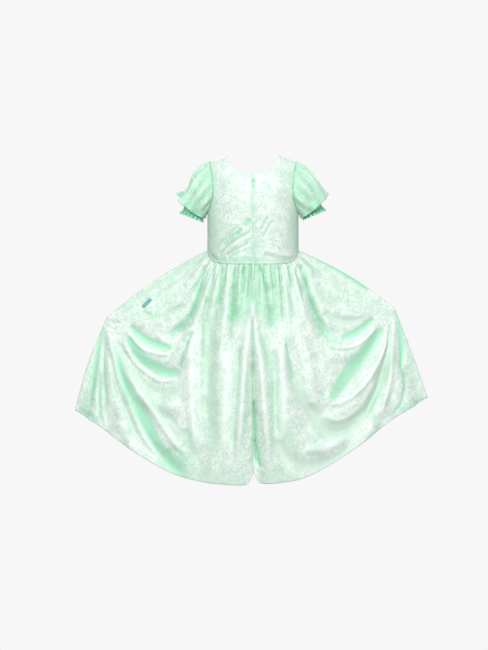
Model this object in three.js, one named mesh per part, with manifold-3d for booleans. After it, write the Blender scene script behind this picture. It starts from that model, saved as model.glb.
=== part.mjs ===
// Child's princess costume in mint crushed velvet, hollow as worn, with its skirt lifted out at both sides.
// Millimetres, +Z up. The front faces -Y, the back and its zip face +Y, and the dress's own left is +X.
// The origin lies midway between the shoulders, where the dress hangs from its shoulder seams.
import * as THREE from "three";
import { mergeVertices } from "three/addons/utils/BufferGeometryUtils.js";
import Module from "manifold-3d";

const wasm = await Module();
wasm.setup();

// Cloth and seams
const velvet = 1.6; // wall of the velvet
const satin = 1.0; // wall of the gathered undersleeve
const seamGap = 0.4; // between two sewn edges
const layGap = 0.45; // between a piece and the cloth it lies on

// Bodice, cut for a chest of about 600 mm
const torso = { halfWidth: 106, depthBack: 82, depthFront: 86, domeHeight: 120 };
const shoulder = { neckHalf: 62, neckZ: 4, tipHalf: 100, slope: 0.42 };
const neckline = { backDepth: 46, frontDepth: 84 };
const armhole = { depth: 117.5, waistX: 92, waistAt: 65, topOut: 8, bottomOut: 14 };
const waist = { centreZ: -250, sideZ: -219, risePower: 3 };

// Skirt, 520 mm long and gathered into the waist seam
const gathers = { perQuarter: 7, seamDepth: 1.2, growth: 3.6, grownBy: 0.05, wobble: 0.12 };
const gatherLoss = { from: 0.08, over: 0.45, share: 0.8 };
const hem = { depthBack: 142, depthFront: 138, lensPower: 1.7, notchRise: 24, notchWidth: 9, notchFrom: 0.7 };
const fallShape = { depthPower: 1.8, roundBy: 0.3, levelBy: 0.25, edgePower: 8, edgeBy: 0.1 };
const foldStart = { by: 0.12, depth: 30 };
// Height of the hem from the centre to each side corner, by share of the half width
const hemRows = [
  { share: 0, left: -755, right: -752 },
  { share: 0.15, left: -754, right: -750 },
  { share: 0.3, left: -748, right: -738 },
  { share: 0.45, left: -732, right: -709 },
  { share: 0.6, left: -701, right: -669 },
  { share: 0.75, left: -661, right: -624 },
  { share: 0.88, left: -625, right: -593 },
  { share: 1, left: -597, right: -566 },
];
const held = {
  left: { name: "left", sign: 1, holdX: 344, holdZ: -376, holdAt: 0.543, cornerX: 419, bulge: 8, arch: 12 },
  right: { name: "right", sign: -1, holdX: 333, holdZ: -352, holdAt: 0.53, cornerX: 412, bulge: 2, arch: 11 },
};
const pullPower = 5;
const peakSharpness = 4; // the lifted side edge comes to a peak, and the cloth inside it stays round

// Folds of the skirt, each a quadratic curve across the back in x and z. Depth is positive for a ridge.
// The front takes the same rows turned left for right.
const foldRows = [
  // Centre back, a deep valley between two ridges
  { name: "centreValley", x0: 2, z0: -400, x1: 0, z1: -620, x2: -8, z2: -800, width: 15, depth: -30 },
  { name: "centreRidgeLeft", x0: 8, z0: -380, x1: 22, z1: -560, x2: 40, z2: -800, width: 17, depth: 11 },
  { name: "centreRidgeRight", x0: -6, z0: -380, x1: -20, z1: -560, x2: -48, z2: -800, width: 17, depth: 13 },
  // Left half, hanging from the waist
  { name: "leftGatherValley", x0: 42, z0: -290, x1: 46, z1: -370, x2: 66, z2: -480, width: 15, depth: -9 },
  { name: "leftHangRidge", x0: 70, z0: -330, x1: 84, z1: -540, x2: 90, z2: -800, width: 20, depth: 12 },
  { name: "leftHangValley", x0: 104, z0: -330, x1: 92, z1: -540, x2: 140, z2: -780, width: 20, depth: -11 },
  { name: "leftSwagInner", x0: 112, z0: -262, x1: 132, z1: -360, x2: 168, z2: -520, width: 15, depth: 11 },
  // Left half, swags between the waist and the held point
  { name: "leftSwagHigh", x0: 300, z0: -376, x1: 232, z1: -420, x2: 128, z2: -300, width: 15, depth: 8 },
  { name: "leftSwagOne", x0: 296, z0: -384, x1: 225, z1: -500, x2: 134, z2: -360, width: 15, depth: -11 },
  { name: "leftSwagRidge", x0: 306, z0: -398, x1: 232, z1: -536, x2: 140, z2: -420, width: 15, depth: 11 },
  { name: "leftSwagTwo", x0: 310, z0: -414, x1: 236, z1: -580, x2: 142, z2: -470, width: 15, depth: -12 },
  { name: "leftSwagLow", x0: 322, z0: -424, x1: 262, z1: -640, x2: 150, z2: -560, width: 15, depth: 11 },
  { name: "leftFallRidge", x0: 334, z0: -400, x1: 300, z1: -600, x2: 190, z2: -690, width: 15, depth: 9 },
  { name: "leftFallValley", x0: 338, z0: -400, x1: 318, z1: -620, x2: 160, z2: -750, width: 15, depth: -13 },
  { name: "leftFallOuter", x0: 342, z0: -400, x1: 336, z1: -610, x2: 250, z2: -730, width: 15, depth: 10 },
  // Right half, hanging from the waist
  { name: "rightGatherDip", x0: -34, z0: -290, x1: -42, z1: -350, x2: -52, z2: -430, width: 15, depth: -9 },
  { name: "rightHangRidge", x0: -70, z0: -360, x1: -84, z1: -540, x2: -96, z2: -800, width: 19, depth: 12 },
  { name: "rightSwagFirst", x0: -108, z0: -262, x1: -140, z1: -370, x2: -176, z2: -440, width: 15, depth: -10 },
  { name: "rightHangLong", x0: -104, z0: -300, x1: -128, z1: -460, x2: -150, z2: -600, width: 15, depth: 10 },
  // Right half, swags between the waist and the held point
  { name: "rightSwagHigh", x0: -290, z0: -358, x1: -226, z1: -404, x2: -130, z2: -296, width: 15, depth: 8 },
  { name: "rightSwagOne", x0: -296, z0: -366, x1: -240, z1: -450, x2: -160, z2: -392, width: 15, depth: -10 },
  { name: "rightSwagMid", x0: -300, z0: -378, x1: -232, z1: -508, x2: -164, z2: -440, width: 15, depth: 11 },
  { name: "rightSwagTwo", x0: -306, z0: -390, x1: -248, z1: -520, x2: -176, z2: -590, width: 15, depth: -14 },
  { name: "rightSwagLow", x0: -320, z0: -400, x1: -262, z1: -640, x2: -130, z2: -600, width: 15, depth: 12 },
  { name: "rightFallDip", x0: -328, z0: -400, x1: -286, z1: -700, x2: -100, z2: -560, width: 19, depth: -12 },
  { name: "rightFallOut", x0: -332, z0: -390, x1: -318, z1: -640, x2: -190, z2: -720, width: 15, depth: 11 },
];
const cornerWaves = { from: 0.72, count: 2, depth: 10 };

// Sleeves. The hem ring leans up towards its outer side.
const sleeveHem = { x: 143.9, z: -116.3, lean: 40.5, halfAlong: 41, halfAcross: 43, sag: 10 };
const tipWave = { left: 9, right: 4.5 };
const tipDent = { left: 10.5, right: 1.5, at: 0.76, reach: 0.18, power: 8 };
const hemLobe = { drop: 7.5, out: 1.1, at: 0.13, reach: 0.05 };
const sleevePuff = { outer: 6, across: 10, power: 0.6 };
const underarmRoom = { depth: 2.4, by: 0.15, loss: 0.75 };
const sleeveWave = { count: 8, depth: 4.5, least: 0.3, tipPower: 6, growPower: 3, rowPower: 0.9 };
const cuff = { x: 144.5, neckRadius: 24.5, edgeRadius: 27.2, ruffle: 9.5 };
const cuffHang = { left: { z: -138.7, lean: 22 }, right: { z: -133, lean: 26 } };
const cuffGathers = { count: 16, edgeDepth: 1.8, neckDepth: 0.4, room: 2.88 };

// Zip, closed from the neckline to just under the waist seam
const zip = { halfWidth: 1.2, thickness: 1.2, slot: 1.55, top: -48, bottom: -284, skirtSlotEnd: 0.09 };
const slider = { z: -51, lift: 0.5, tilt: 22, halfWidth: 3.2, length: 9, thickness: 1.9, bridgeWidth: 1.6 };
const bridge = { from: 0.4, to: 8.6, rise: 3.0, wall: 0.8 };
const pull = { bar: 1.1, legOut: 2.3, legIn: 1.2, reach: 5.5, thickness: 1.0 };
const plate = { width: 5.2, length: 13 };
const joinDepth = 0.5; // how far joined blocks run into each other

// Blank woven label beside the left side seam, by row and column of the left back panel
const label = { row: 7.25, column: 26.1, length: 26, width: 8, thickness: 0.7, tilt: 136 };
const labelGrid = { rows: 4, columns: 13 };

const mint = 0x9fe3bf;
const satinMint = 0x5fc98f;
const teal = 0x5fb3a8;
const zipMint = 0x8fd6b0;

const mix = (a, b, t) => a + (b - a) * t;
const clamp01 = (t) => Math.min(1, Math.max(0, t));
const smooth = (t) => clamp01(t) ** 2 * (3 - 2 * clamp01(t));
const degrees = (d) => (d * Math.PI) / 180;
const vector = (x, y, z) => new THREE.Vector3(x, y, z);

// Closed wall of cloth. pointAt(row, column) gives the inner face, and the wall grows outwards by its
// thickness. A ring joins its last column to its first. normalAt may state the way outwards, and seamKeep
// keeps an edge on its own side of a seam.
function clothWall({ rows, columns, ring = false, pointAt, thickness, facing, normalAt, seamKeep }) {
  const width = ring ? columns : columns + 1;
  const inner = [];
  for (let r = 0; r <= rows; r++) {
    inner.push(Array.from({ length: width }, (_, c) => pointAt(r, c)));
  }
  const column = (c) => (ring ? (c + width) % width : Math.min(width - 1, Math.max(0, c)));
  const row = (r) => Math.min(rows, Math.max(0, r));
  const outer = inner.map((line, r) =>
    line.map((p, c) => {
      const across = inner[r][column(c + 1)].clone().sub(inner[r][column(c - 1)]);
      const down = inner[row(r + 1)][c].clone().sub(inner[row(r - 1)][c]);
      const normal = normalAt?.(r, c) ?? across.cross(down).multiplyScalar(facing);
      const q = p.clone().addScaledVector(normal.normalize(), thickness);
      return seamKeep ? seamKeep(q, p, r, c) : q;
    }),
  );
  const positions = [...outer.flat(), ...inner.flat()].flatMap((p) => [p.x, p.y, p.z]);
  const out = (r, c) => r * width + column(c);
  const inn = (r, c) => (rows + 1) * width + r * width + column(c);
  const faces = [];
  const quad = (a, b, c, d) => (facing > 0 ? faces.push(a, b, c, a, c, d) : faces.push(a, c, b, a, d, c));
  for (let r = 0; r < rows; r++) {
    for (let c = 0; c < columns; c++) {
      quad(out(r, c), out(r, c + 1), out(r + 1, c + 1), out(r + 1, c));
      quad(inn(r, c), inn(r + 1, c), inn(r + 1, c + 1), inn(r, c + 1));
    }
  }
  for (let c = 0; c < columns; c++) {
    quad(out(0, c), inn(0, c), inn(0, c + 1), out(0, c + 1));
    quad(out(rows, c), out(rows, c + 1), inn(rows, c + 1), inn(rows, c));
  }
  if (!ring) {
    for (let r = 0; r < rows; r++) {
      quad(out(r, 0), out(r + 1, 0), inn(r + 1, 0), inn(r, 0));
      quad(out(r, columns), inn(r, columns), inn(r + 1, columns), out(r + 1, columns));
    }
  }
  const geometry = new THREE.BufferGeometry();
  geometry.setAttribute("position", new THREE.Float32BufferAttribute(positions, 3));
  geometry.setIndex(faces);
  geometry.computeVertexNormals();
  geometry.userData.outer = outer;
  return geometry;
}

// Torso under the bodice. angle runs from 0 at the centre to 90 at the side seam, and drop is measured
// down from the shoulder line.
const shoulderZ = (x) => shoulder.neckZ - shoulder.slope * Math.max(0, Math.abs(x) - shoulder.neckHalf);
const domeDepth = (drop) => Math.sqrt(1 - (1 - clamp01(drop / torso.domeHeight)) ** 2);

function torsoPoint(face, angle, drop) {
  const x = torso.halfWidth * Math.sin(degrees(angle));
  const depth = face > 0 ? torso.depthBack : torso.depthFront;
  const y = depth * domeDepth(drop) * Math.cos(degrees(angle));
  return vector(x, face * (seamGap / 2 + y), shoulderZ(x) - drop);
}

function torsoNormal(face, angle, drop) {
  const [a, d] = [Math.min(angle, 89.4), Math.max(drop, 0.6)];
  const along = torsoPoint(face, a + 0.5, d).sub(torsoPoint(face, a - 0.5, d));
  const down = torsoPoint(face, a, d + 0.5).sub(torsoPoint(face, a, d - 0.5));
  return along.cross(down).multiplyScalar(face).normalize();
}

function waistSeamZ(s) {
  return mix(waist.centreZ, waist.sideZ, smooth(s ** waist.risePower));
}

// Armhole edge on a half, from the shoulder tip at 0 to the side seam at 1, as angle and drop.
function armholeEdge(t) {
  const drop = (armhole.depth * (1 - Math.cos(Math.PI * t))) / 2;
  const above = drop < armhole.waistAt;
  const reach = above ? armhole.waistAt : armhole.depth - armhole.waistAt;
  const out = above ? armhole.topOut : armhole.bottomOut;
  const x = armhole.waistX + out * ((drop - armhole.waistAt) / reach) ** 2;
  return { angle: (Math.asin(Math.min(1, x / torso.halfWidth)) * 180) / Math.PI, drop };
}

// Upper edge of a bodice half, from the side seam at 0, along armhole and shoulder, to the centre at 1.
const bodiceRows = 8;
const bodiceRowPower = 1.45;
const bodiceColumns = 18;
const edgeShare = { armholeEnd: 11 / bodiceColumns, shoulderEnd: 13 / bodiceColumns };
const footAngles = { armholeEnd: 46, shoulderEnd: 36 };
function upperEdge(face, e) {
  if (e <= edgeShare.armholeEnd) {
    return armholeEdge(1 - e / edgeShare.armholeEnd);
  }
  const angleOf = (x) => (Math.asin(x / torso.halfWidth) * 180) / Math.PI;
  if (e <= edgeShare.shoulderEnd) {
    const t = (e - edgeShare.armholeEnd) / (edgeShare.shoulderEnd - edgeShare.armholeEnd);
    return { angle: angleOf(mix(shoulder.tipHalf, shoulder.neckHalf, t)), drop: 0 };
  }
  const turn = ((e - edgeShare.shoulderEnd) / (1 - edgeShare.shoulderEnd)) * (Math.PI / 2);
  const depth = face > 0 ? neckline.backDepth : neckline.frontDepth;
  return { angle: angleOf(shoulder.neckHalf * Math.cos(turn)), drop: depth * Math.sin(turn) };
}

function bodiceSpot(face, e, rise) {
  const top = upperEdge(face, e);
  const { armholeEnd, shoulderEnd } = edgeShare;
  const underArm = mix(90, footAngles.armholeEnd, e / armholeEnd);
  const overShoulder = (e - armholeEnd) / (shoulderEnd - armholeEnd);
  const underShoulder = mix(footAngles.armholeEnd, footAngles.shoulderEnd, overShoulder);
  const underNeck = mix(footAngles.shoulderEnd, 0, (e - shoulderEnd) / (1 - shoulderEnd));
  const angle = e <= armholeEnd ? underArm : e <= shoulderEnd ? underShoulder : underNeck;
  const foot = torsoPoint(face, angle, 0);
  const footDrop = foot.z - waistSeamZ(angle / 90) - seamGap;
  const t = 1 - (1 - rise) ** bodiceRowPower;
  return [face, mix(angle, top.angle, t), mix(footDrop, top.drop, t)];
}

const bodiceNormal = (spot, r) => (r === bodiceRows ? torsoNormal(...spot).setZ(0) : torsoNormal(...spot));

function bodiceBack(sign) {
  const spot = (r, c) => bodiceSpot(1, c / bodiceColumns, 1 - r / bodiceRows);
  const turned = (p) => vector(sign * p.x, p.y, p.z);
  return clothWall({
    rows: bodiceRows,
    columns: bodiceColumns,
    thickness: velvet,
    facing: -sign,
    pointAt(r, c) {
      const p = torsoPoint(...spot(r, c));
      return turned(p.setX(Math.max(zip.slot, p.x)));
    },
    normalAt: (r, c) => turned(bodiceNormal(spot(r, c), r)),
    seamKeep(q, p, r, c) {
      q.y = Math.max(q.y, seamGap / 2);
      return c === bodiceColumns ? q.setX(p.x) : q;
    },
  });
}

function bodiceFront() {
  const half = (c) => (c <= bodiceColumns ? -1 : 1);
  const spot = (r, c) => bodiceSpot(-1, 1 - Math.abs(1 - c / bodiceColumns), 1 - r / bodiceRows);
  return clothWall({
    rows: bodiceRows,
    columns: 2 * bodiceColumns,
    thickness: velvet,
    facing: -1,
    pointAt(r, c) {
      const p = torsoPoint(...spot(r, c));
      return p.setX(half(c) * p.x);
    },
    normalAt(r, c) {
      const normal = bodiceNormal(spot(r, c), r);
      return normal.setX(half(c) * normal.x);
    },
    seamKeep: (q) => q.setY(Math.min(q.y, -seamGap / 2)),
  });
}

// How far a fold lifts the cloth at x and z.
const foldSteps = 14;
const foldEnd = 0.22;
const foldLines = foldRows.map((fold) => ({
  ...fold,
  points: Array.from({ length: foldSteps + 1 }, (_, i) => {
    const t = i / foldSteps;
    const bend = (a, b, c) => (1 - t) ** 2 * a + 2 * t * (1 - t) * b + t * t * c;
    return [bend(fold.x0, fold.x1, fold.x2), bend(fold.z0, fold.z1, fold.z2)];
  }),
}));

function foldLift(x, z) {
  let lift = 0;
  for (const fold of foldLines) {
    let nearest = Infinity;
    let share = 0;
    for (let i = 0; i < foldSteps; i++) {
      const [ax, az] = fold.points[i];
      const [bx, bz] = fold.points[i + 1];
      const along = ((x - ax) * (bx - ax) + (z - az) * (bz - az)) / ((bx - ax) ** 2 + (bz - az) ** 2);
      const t = clamp01(along);
      const gap = Math.hypot(x - mix(ax, bx, t), z - mix(az, bz, t));
      if (gap < nearest) {
        nearest = gap;
        share = (i + t) / foldSteps;
      }
    }
    const fade = smooth(share / foldEnd) * smooth((1 - share) / foldEnd);
    lift += fold.depth * fade * Math.exp(-((nearest / fold.width) ** 2));
  }
  return lift;
}

// Smooth line through a table's rows.
function hemHeight(side, s) {
  const at = (i) => hemRows[Math.min(hemRows.length - 1, Math.max(0, i))];
  const i = Math.max(0, hemRows.findLastIndex((row) => row.share <= s && row.share < 1));
  const [a, b, c, d] = [at(i - 1), at(i), at(i + 1), at(i + 2)];
  const t = (s - b.share) / (c.share - b.share);
  const slope = (from, to) => (to === from ? 0 : (to[side.name] - from[side.name]) / (to.share - from.share));
  const [m0, m1] = [slope(a, c), slope(b, d)].map((m) => m * (c.share - b.share));
  const [p0, p1] = [b[side.name], c[side.name]];
  const arrived = 3 * t * t - 2 * t ** 3;
  return p0 * (1 - arrived) + p1 * arrived + m0 * (t ** 3 - 2 * t * t + t) + m1 * (t ** 3 - t * t);
}

// Skirt surface on one quarter. s runs from the centre to the side, and v from the waist to the hem.
function skirtPoint(side, face, s, v) {
  const turn = (s * Math.PI) / 2;
  const depths = face > 0 ? [torso.depthBack, hem.depthBack] : [torso.depthFront, hem.depthFront];
  const spread = mix(torso.halfWidth * Math.sin(turn), side.cornerX * s, v);
  const notchAt = smooth((v - hem.notchFrom) / (1 - hem.notchFrom));
  const notch = hem.notchRise * Math.exp(-(((side.cornerX * s) / hem.notchWidth) ** 2)) * notchAt;
  const fall = mix(waistSeamZ(s), hemHeight(side, s), v) + notch;
  // The held point lifts the cloth most at the side edge, and less towards the centre.
  const straight = v < side.holdAt ? v / side.holdAt : (1 - v) / (1 - side.holdAt);
  const tent = mix(smooth(straight), straight, s ** peakSharpness) * s ** pullPower;
  const pullX = side.holdX - mix(torso.halfWidth, side.cornerX, side.holdAt);
  const pullZ = side.holdZ - mix(waist.sideZ, hemHeight(side, 1), side.holdAt);
  const beneath = clamp01((v - side.holdAt) / (1 - side.holdAt));
  const bulge = side.bulge * Math.sin(Math.PI * beneath) * s ** pullPower;
  const arch = side.arch * Math.sin(Math.PI * clamp01(v / side.holdAt)) * s ** pullPower;
  const x = spread + tent * pullX + bulge;
  const z = fall + tent * pullZ + arch;
  const depth = mix(depths[0], depths[1], 1 - (1 - v) ** fallShape.depthPower);
  const round = mix(Math.cos(turn), 1 - s ** hem.lensPower, smooth(v / fallShape.roundBy));
  const y = depth * round;
  // Gathers run out below the waist, and the larger folds take over.
  const grown = gathers.seamDepth + gathers.growth * smooth(v / gathers.grownBy);
  const gatherDepth = grown * (1 - gatherLoss.share * smooth((v - gatherLoss.from) / gatherLoss.over));
  const wobble = gathers.wobble * Math.sin(2 * Math.PI * s) * (1 - smooth(2 * v));
  const wave = Math.cos(2 * Math.PI * (gathers.perQuarter * s + wobble));
  const edgeFade = 1 - s ** fallShape.edgePower * smooth(v / fallShape.edgeBy);
  const gather = gatherDepth * wave * edgeFade;
  const outX = Math.sin(turn) * (1 - smooth(v / fallShape.levelBy));
  const outY = Math.sqrt(1 - outX ** 2);
  const foldFade = smooth(v / foldStart.by) * clamp01(y / foldStart.depth);
  const fold = foldLift(face > 0 ? side.sign * x : -side.sign * x, z) * foldFade;
  // Below the held point both sheets swing together from front to back.
  const beyond = clamp01((s - cornerWaves.from) / (1 - cornerWaves.from));
  const swingWave = Math.sin(2 * Math.PI * cornerWaves.count * beyond);
  const swing = cornerWaves.depth * smooth(beneath) * swingWave * beyond;
  const px = x + gather * outX;
  const py = face * (seamGap / 2 + Math.max(0, y + gather * outY + fold)) + swing;
  return vector(side.sign * px, py, z);
}

const skirtRows = 16;
const skirtRowPower = 1.2;
const quarterColumns = 4 * gathers.perQuarter;
const rowShare = (r) => (r / skirtRows) ** skirtRowPower;
const topGap = seamGap;

function skirtInner(side, face, s, r) {
  const p = skirtPoint(side, face, s, rowShare(r));
  return r === 0 ? p.setZ(p.z - topGap) : p;
}

// At the waist seam the wall stands level, square to the waist.
function waistNormal(side, face, s) {
  const turn = (s * Math.PI) / 2;
  const depth = face > 0 ? torso.depthBack : torso.depthFront;
  return vector((side.sign * Math.sin(turn)) / torso.halfWidth, (face * Math.cos(turn)) / depth, 0);
}

function skirtBack(side) {
  const slotAt = (r) => (rowShare(r) < zip.skirtSlotEnd ? zip.slot : seamGap / 2);
  return clothWall({
    rows: skirtRows,
    columns: quarterColumns,
    thickness: velvet,
    facing: side.sign,
    pointAt(r, c) {
      const p = skirtInner(side, 1, c / quarterColumns, r);
      return c === 0 ? p.setX(side.sign * slotAt(r)) : p;
    },
    normalAt: (r, c) => (r === 0 ? waistNormal(side, 1, c / quarterColumns) : null),
    seamKeep(q, p, r, c) {
      if (c === quarterColumns) q.setY(Math.max(q.y, p.y));
      return c === 0 ? q.setX(p.x) : q;
    },
  });
}

function skirtFront() {
  const sideOf = (c) => (c <= quarterColumns ? held.left : held.right);
  const shareOf = (c) => Math.abs(1 - c / quarterColumns);
  return clothWall({
    rows: skirtRows,
    columns: 2 * quarterColumns,
    thickness: velvet,
    facing: 1,
    pointAt: (r, c) => skirtInner(sideOf(c), -1, shareOf(c), r),
    normalAt: (r, c) => (r === 0 ? waistNormal(sideOf(c), -1, shareOf(c)) : null),
    seamKeep(q, p, r, c) {
      const atSide = c === 0 || c === 2 * quarterColumns;
      return atSide ? q.setY(Math.min(q.y, p.y)) : q;
    },
  });
}

// Armhole ring on the left. turn runs from 0 at the shoulder tip, over the back, to the side seam at
// 0.5 and up the front. It is lifted off the bodice, and inset moves it towards the armhole's middle.
const armholeMiddle = vector(100, 0, -72);
function armholeRing(turn, inset) {
  const face = turn <= 0.5 ? 1 : -1;
  const t = turn <= 0.5 ? 2 * turn : 2 - 2 * turn;
  const edge = armholeEdge(t);
  const q = torsoPoint(face, edge.angle, edge.drop);
  q.addScaledVector(torsoNormal(face, edge.angle, edge.drop), velvet + layGap);
  const inwards = armholeMiddle.clone().sub(q).setX(0).normalize();
  return q.addScaledVector(inwards, inset);
}

// Point on a leaning ring: along runs up and out in the XZ plane, across runs towards the back.
function leaningRing(ring, lean, radiusAlong, radiusAcross, turn) {
  const a = 2 * Math.PI * turn;
  const along = vector(Math.cos(degrees(lean)), 0, Math.sin(degrees(lean)));
  return vector(ring.x, 0, ring.z)
    .addScaledVector(along, radiusAlong * Math.cos(a))
    .add(vector(0, radiusAcross * Math.sin(a), 0));
}

const sleeveRows = 6;
const sleeveColumns = 5 * sleeveWave.count;
function sleevePoint(side, turn, k) {
  const a = 2 * Math.PI * turn;
  const lean = degrees(sleeveHem.lean);
  const lifted = (1 + Math.cos(a)) / 2;
  const aside = Math.abs(Math.sin(a));
  const waveDepth = sleeveWave.depth * mix(sleeveWave.least, 1, aside);
  const depth = mix(waveDepth, tipWave[side.name], lifted ** sleeveWave.tipPower);
  const flare = depth * Math.cos(sleeveWave.count * a) * k ** sleeveWave.growPower;
  const down = vector(Math.sin(lean), 0, -Math.cos(lean));
  const end = leaningRing(sleeveHem, sleeveHem.lean, sleeveHem.halfAlong, sleeveHem.halfAcross, turn);
  end.addScaledVector(down, sleeveHem.sag * aside ** 2);
  const fromTip = Math.min(turn, 1 - turn);
  const lobe = Math.exp(-(((fromTip - hemLobe.at) / hemLobe.reach) ** 2));
  end.add(vector(hemLobe.out * lobe, 0, -hemLobe.drop * lobe));
  const radial = leaningRing({ x: 0, z: 0 }, sleeveHem.lean, 1, 1, turn);
  const outwards = radial.clone().setX(Math.max(0, radial.x)).setZ(Math.max(0, radial.z));
  const swell = Math.sin(Math.PI * k ** sleevePuff.power);
  const puff = (sleevePuff.outer * lifted + sleevePuff.across * aside) * swell;
  const dentShape = lifted ** tipDent.power * Math.exp(-(((k - tipDent.at) / tipDent.reach) ** 2));
  const out = flare - tipDent[side.name] * dentShape;
  const p = armholeRing(turn, 0).lerp(end, k).addScaledVector(outwards, puff).addScaledVector(radial, out);
  const room = underarmRoom.depth * (1 - lifted) * clamp01(k / underarmRoom.by);
  return p.setX(p.x + room * (1 - underarmRoom.loss * k));
}

// Away from the armhole's middle, flat over the bodice.
const armholeOutwards = (turn) => armholeRing(turn, 0).sub(armholeMiddle).setX(0);

function sleeve(side) {
  return clothWall({
    rows: sleeveRows,
    columns: sleeveColumns,
    ring: true,
    thickness: velvet,
    facing: -side.sign,
    pointAt(r, c) {
      const p = sleevePoint(side, c / sleeveColumns, (r / sleeveRows) ** sleeveWave.rowPower);
      return vector(side.sign * p.x, p.y, p.z);
    },
    normalAt: (r, c) => (r === 0 ? armholeOutwards(c / sleeveColumns) : null),
  });
}

// Undersleeve: a plain tube down to the elastic neck, then a gathered ruffle.
const undersleeveRows = 3;
const undersleeveColumns = 3 * cuffGathers.count;
const undersleeveInset = satin + layGap;
const neckRow = 2;
function undersleevePoint(side, turn, row) {
  const { z, lean } = cuffHang[side.name];
  const down = vector(Math.sin(degrees(lean)), 0, -Math.cos(degrees(lean)));
  const edge = { x: cuff.x, z };
  const neck = { x: cuff.x - cuff.ruffle * down.x, z: z - cuff.ruffle * down.z };
  const gather = Math.cos(2 * Math.PI * cuffGathers.count * turn);
  const neckPoint = leaningRing(neck, lean, cuff.neckRadius, cuff.neckRadius, turn);
  if (row <= neckRow) {
    const k = row / neckRow;
    const start = armholeRing(turn, undersleeveInset);
    const radial = leaningRing({ x: 0, z: 0 }, lean, 1, 1, turn);
    const p = start.lerp(neckPoint, k).addScaledVector(radial, cuffGathers.neckDepth * gather * k ** 3);
    const lifted = (1 + Math.cos(2 * Math.PI * turn)) / 2;
    return p.setX(p.x + cuffGathers.room * (1 - lifted) * Math.sin(Math.PI * k));
  }
  const flare = cuff.edgeRadius + cuffGathers.edgeDepth * gather;
  return leaningRing(edge, lean, flare, flare, turn);
}

function undersleeve(side) {
  return clothWall({
    rows: undersleeveRows,
    columns: undersleeveColumns,
    ring: true,
    thickness: satin,
    facing: -side.sign,
    pointAt(r, c) {
      const p = undersleevePoint(side, c / undersleeveColumns, r);
      return vector(side.sign * p.x, p.y, p.z);
    },
    normalAt: (r, c) => (r === 0 ? armholeOutwards(c / undersleeveColumns) : null),
  });
}

// Zip chain between the two back panels, following the centre back.
function centreBackY(z) {
  const drop = shoulderZ(0) - z;
  const below = (waist.centreZ - z) / (waist.centreZ - hemRows[0].left);
  return z > waist.centreZ ? torsoPoint(1, 0, drop).y : skirtPoint(held.left, 1, 0, below).y;
}

function zipChain() {
  const rows = 16;
  return clothWall({
    rows,
    columns: 1,
    thickness: zip.thickness,
    facing: -1,
    pointAt(r, c) {
      const z = mix(zip.top, zip.bottom, r / rows);
      return vector(zip.halfWidth * (1 - 2 * c), centreBackY(z), z);
    },
  });
}

// Solids for the slider, joined with manifold-3d.
function toSolid(geometry) {
  const bare = geometry.clone();
  bare.deleteAttribute("normal");
  bare.deleteAttribute("uv");
  const merged = mergeVertices(bare, 1e-4);
  const vertProperties = new Float32Array(merged.attributes.position.array);
  const triVerts = new Uint32Array(merged.index.array);
  return new wasm.Manifold(new wasm.Mesh({ numProp: 3, vertProperties, triVerts }));
}

function toGeometry(solid) {
  const made = solid.getMesh();
  const geometry = new THREE.BufferGeometry();
  geometry.setAttribute("position", new THREE.Float32BufferAttribute(made.vertProperties, 3));
  geometry.setIndex(new THREE.Uint32BufferAttribute(made.triVerts, 1));
  geometry.computeVertexNormals();
  return geometry;
}

function block(x0, x1, y0, y1, z0, z1) {
  const box = new THREE.BoxGeometry(x1 - x0, y1 - y0, z1 - z0);
  return box.translate((x0 + x1) / 2, (y0 + y1) / 2, (z0 + z1) / 2);
}

// Slider in its own frame: y points away from the back, and z runs up the zip.
function sliderGeometry() {
  const top = slider.thickness + bridge.rise;
  const half = slider.bridgeWidth / 2;
  const body = block(-slider.halfWidth, slider.halfWidth, 0, slider.thickness, -slider.length, 0);
  const posts = [
    [-bridge.from - bridge.wall, -bridge.from],
    [-bridge.to, -bridge.to + bridge.wall],
  ].map(([low, high]) => block(-half, half, slider.thickness - joinDepth, top, low, high));
  const roof = block(-half, half, top - bridge.wall, top, -bridge.to, -bridge.from);
  const solid = [...posts, roof].reduce((sum, piece) => sum.add(toSolid(piece)), toSolid(body));
  return toGeometry(solid);
}

// Pull tab with its pivot bar at the origin, hanging down.
function pullGeometry() {
  const half = pull.bar / 2;
  const thick = pull.thickness / 2;
  const bar = block(-pull.legOut, pull.legOut, -half, half, -half, half);
  const legs = [-1, 1].map((sign) => {
    const [a, b] = [sign * pull.legIn, sign * pull.legOut].sort((m, n) => m - n);
    return block(a, b, -thick, thick, -pull.reach - joinDepth, 0);
  });
  const outline = new THREE.Shape();
  const wide = plate.width / 2;
  const end = pull.reach + plate.length;
  outline.moveTo(-pull.legOut, -pull.reach);
  outline.lineTo(-wide, -end + wide);
  outline.absarc(0, -end + wide, wide, Math.PI, 2 * Math.PI, false);
  outline.lineTo(pull.legOut, -pull.reach);
  outline.closePath();
  const tongue = new THREE.ExtrudeGeometry(outline, {
    depth: pull.thickness,
    bevelEnabled: false,
    curveSegments: 10,
  });
  tongue.rotateX(Math.PI / 2);
  tongue.translate(0, thick, 0);
  const solid = [...legs, tongue].reduce((sum, piece) => sum.add(toSolid(piece)), toSolid(bar));
  return toGeometry(solid);
}

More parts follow.
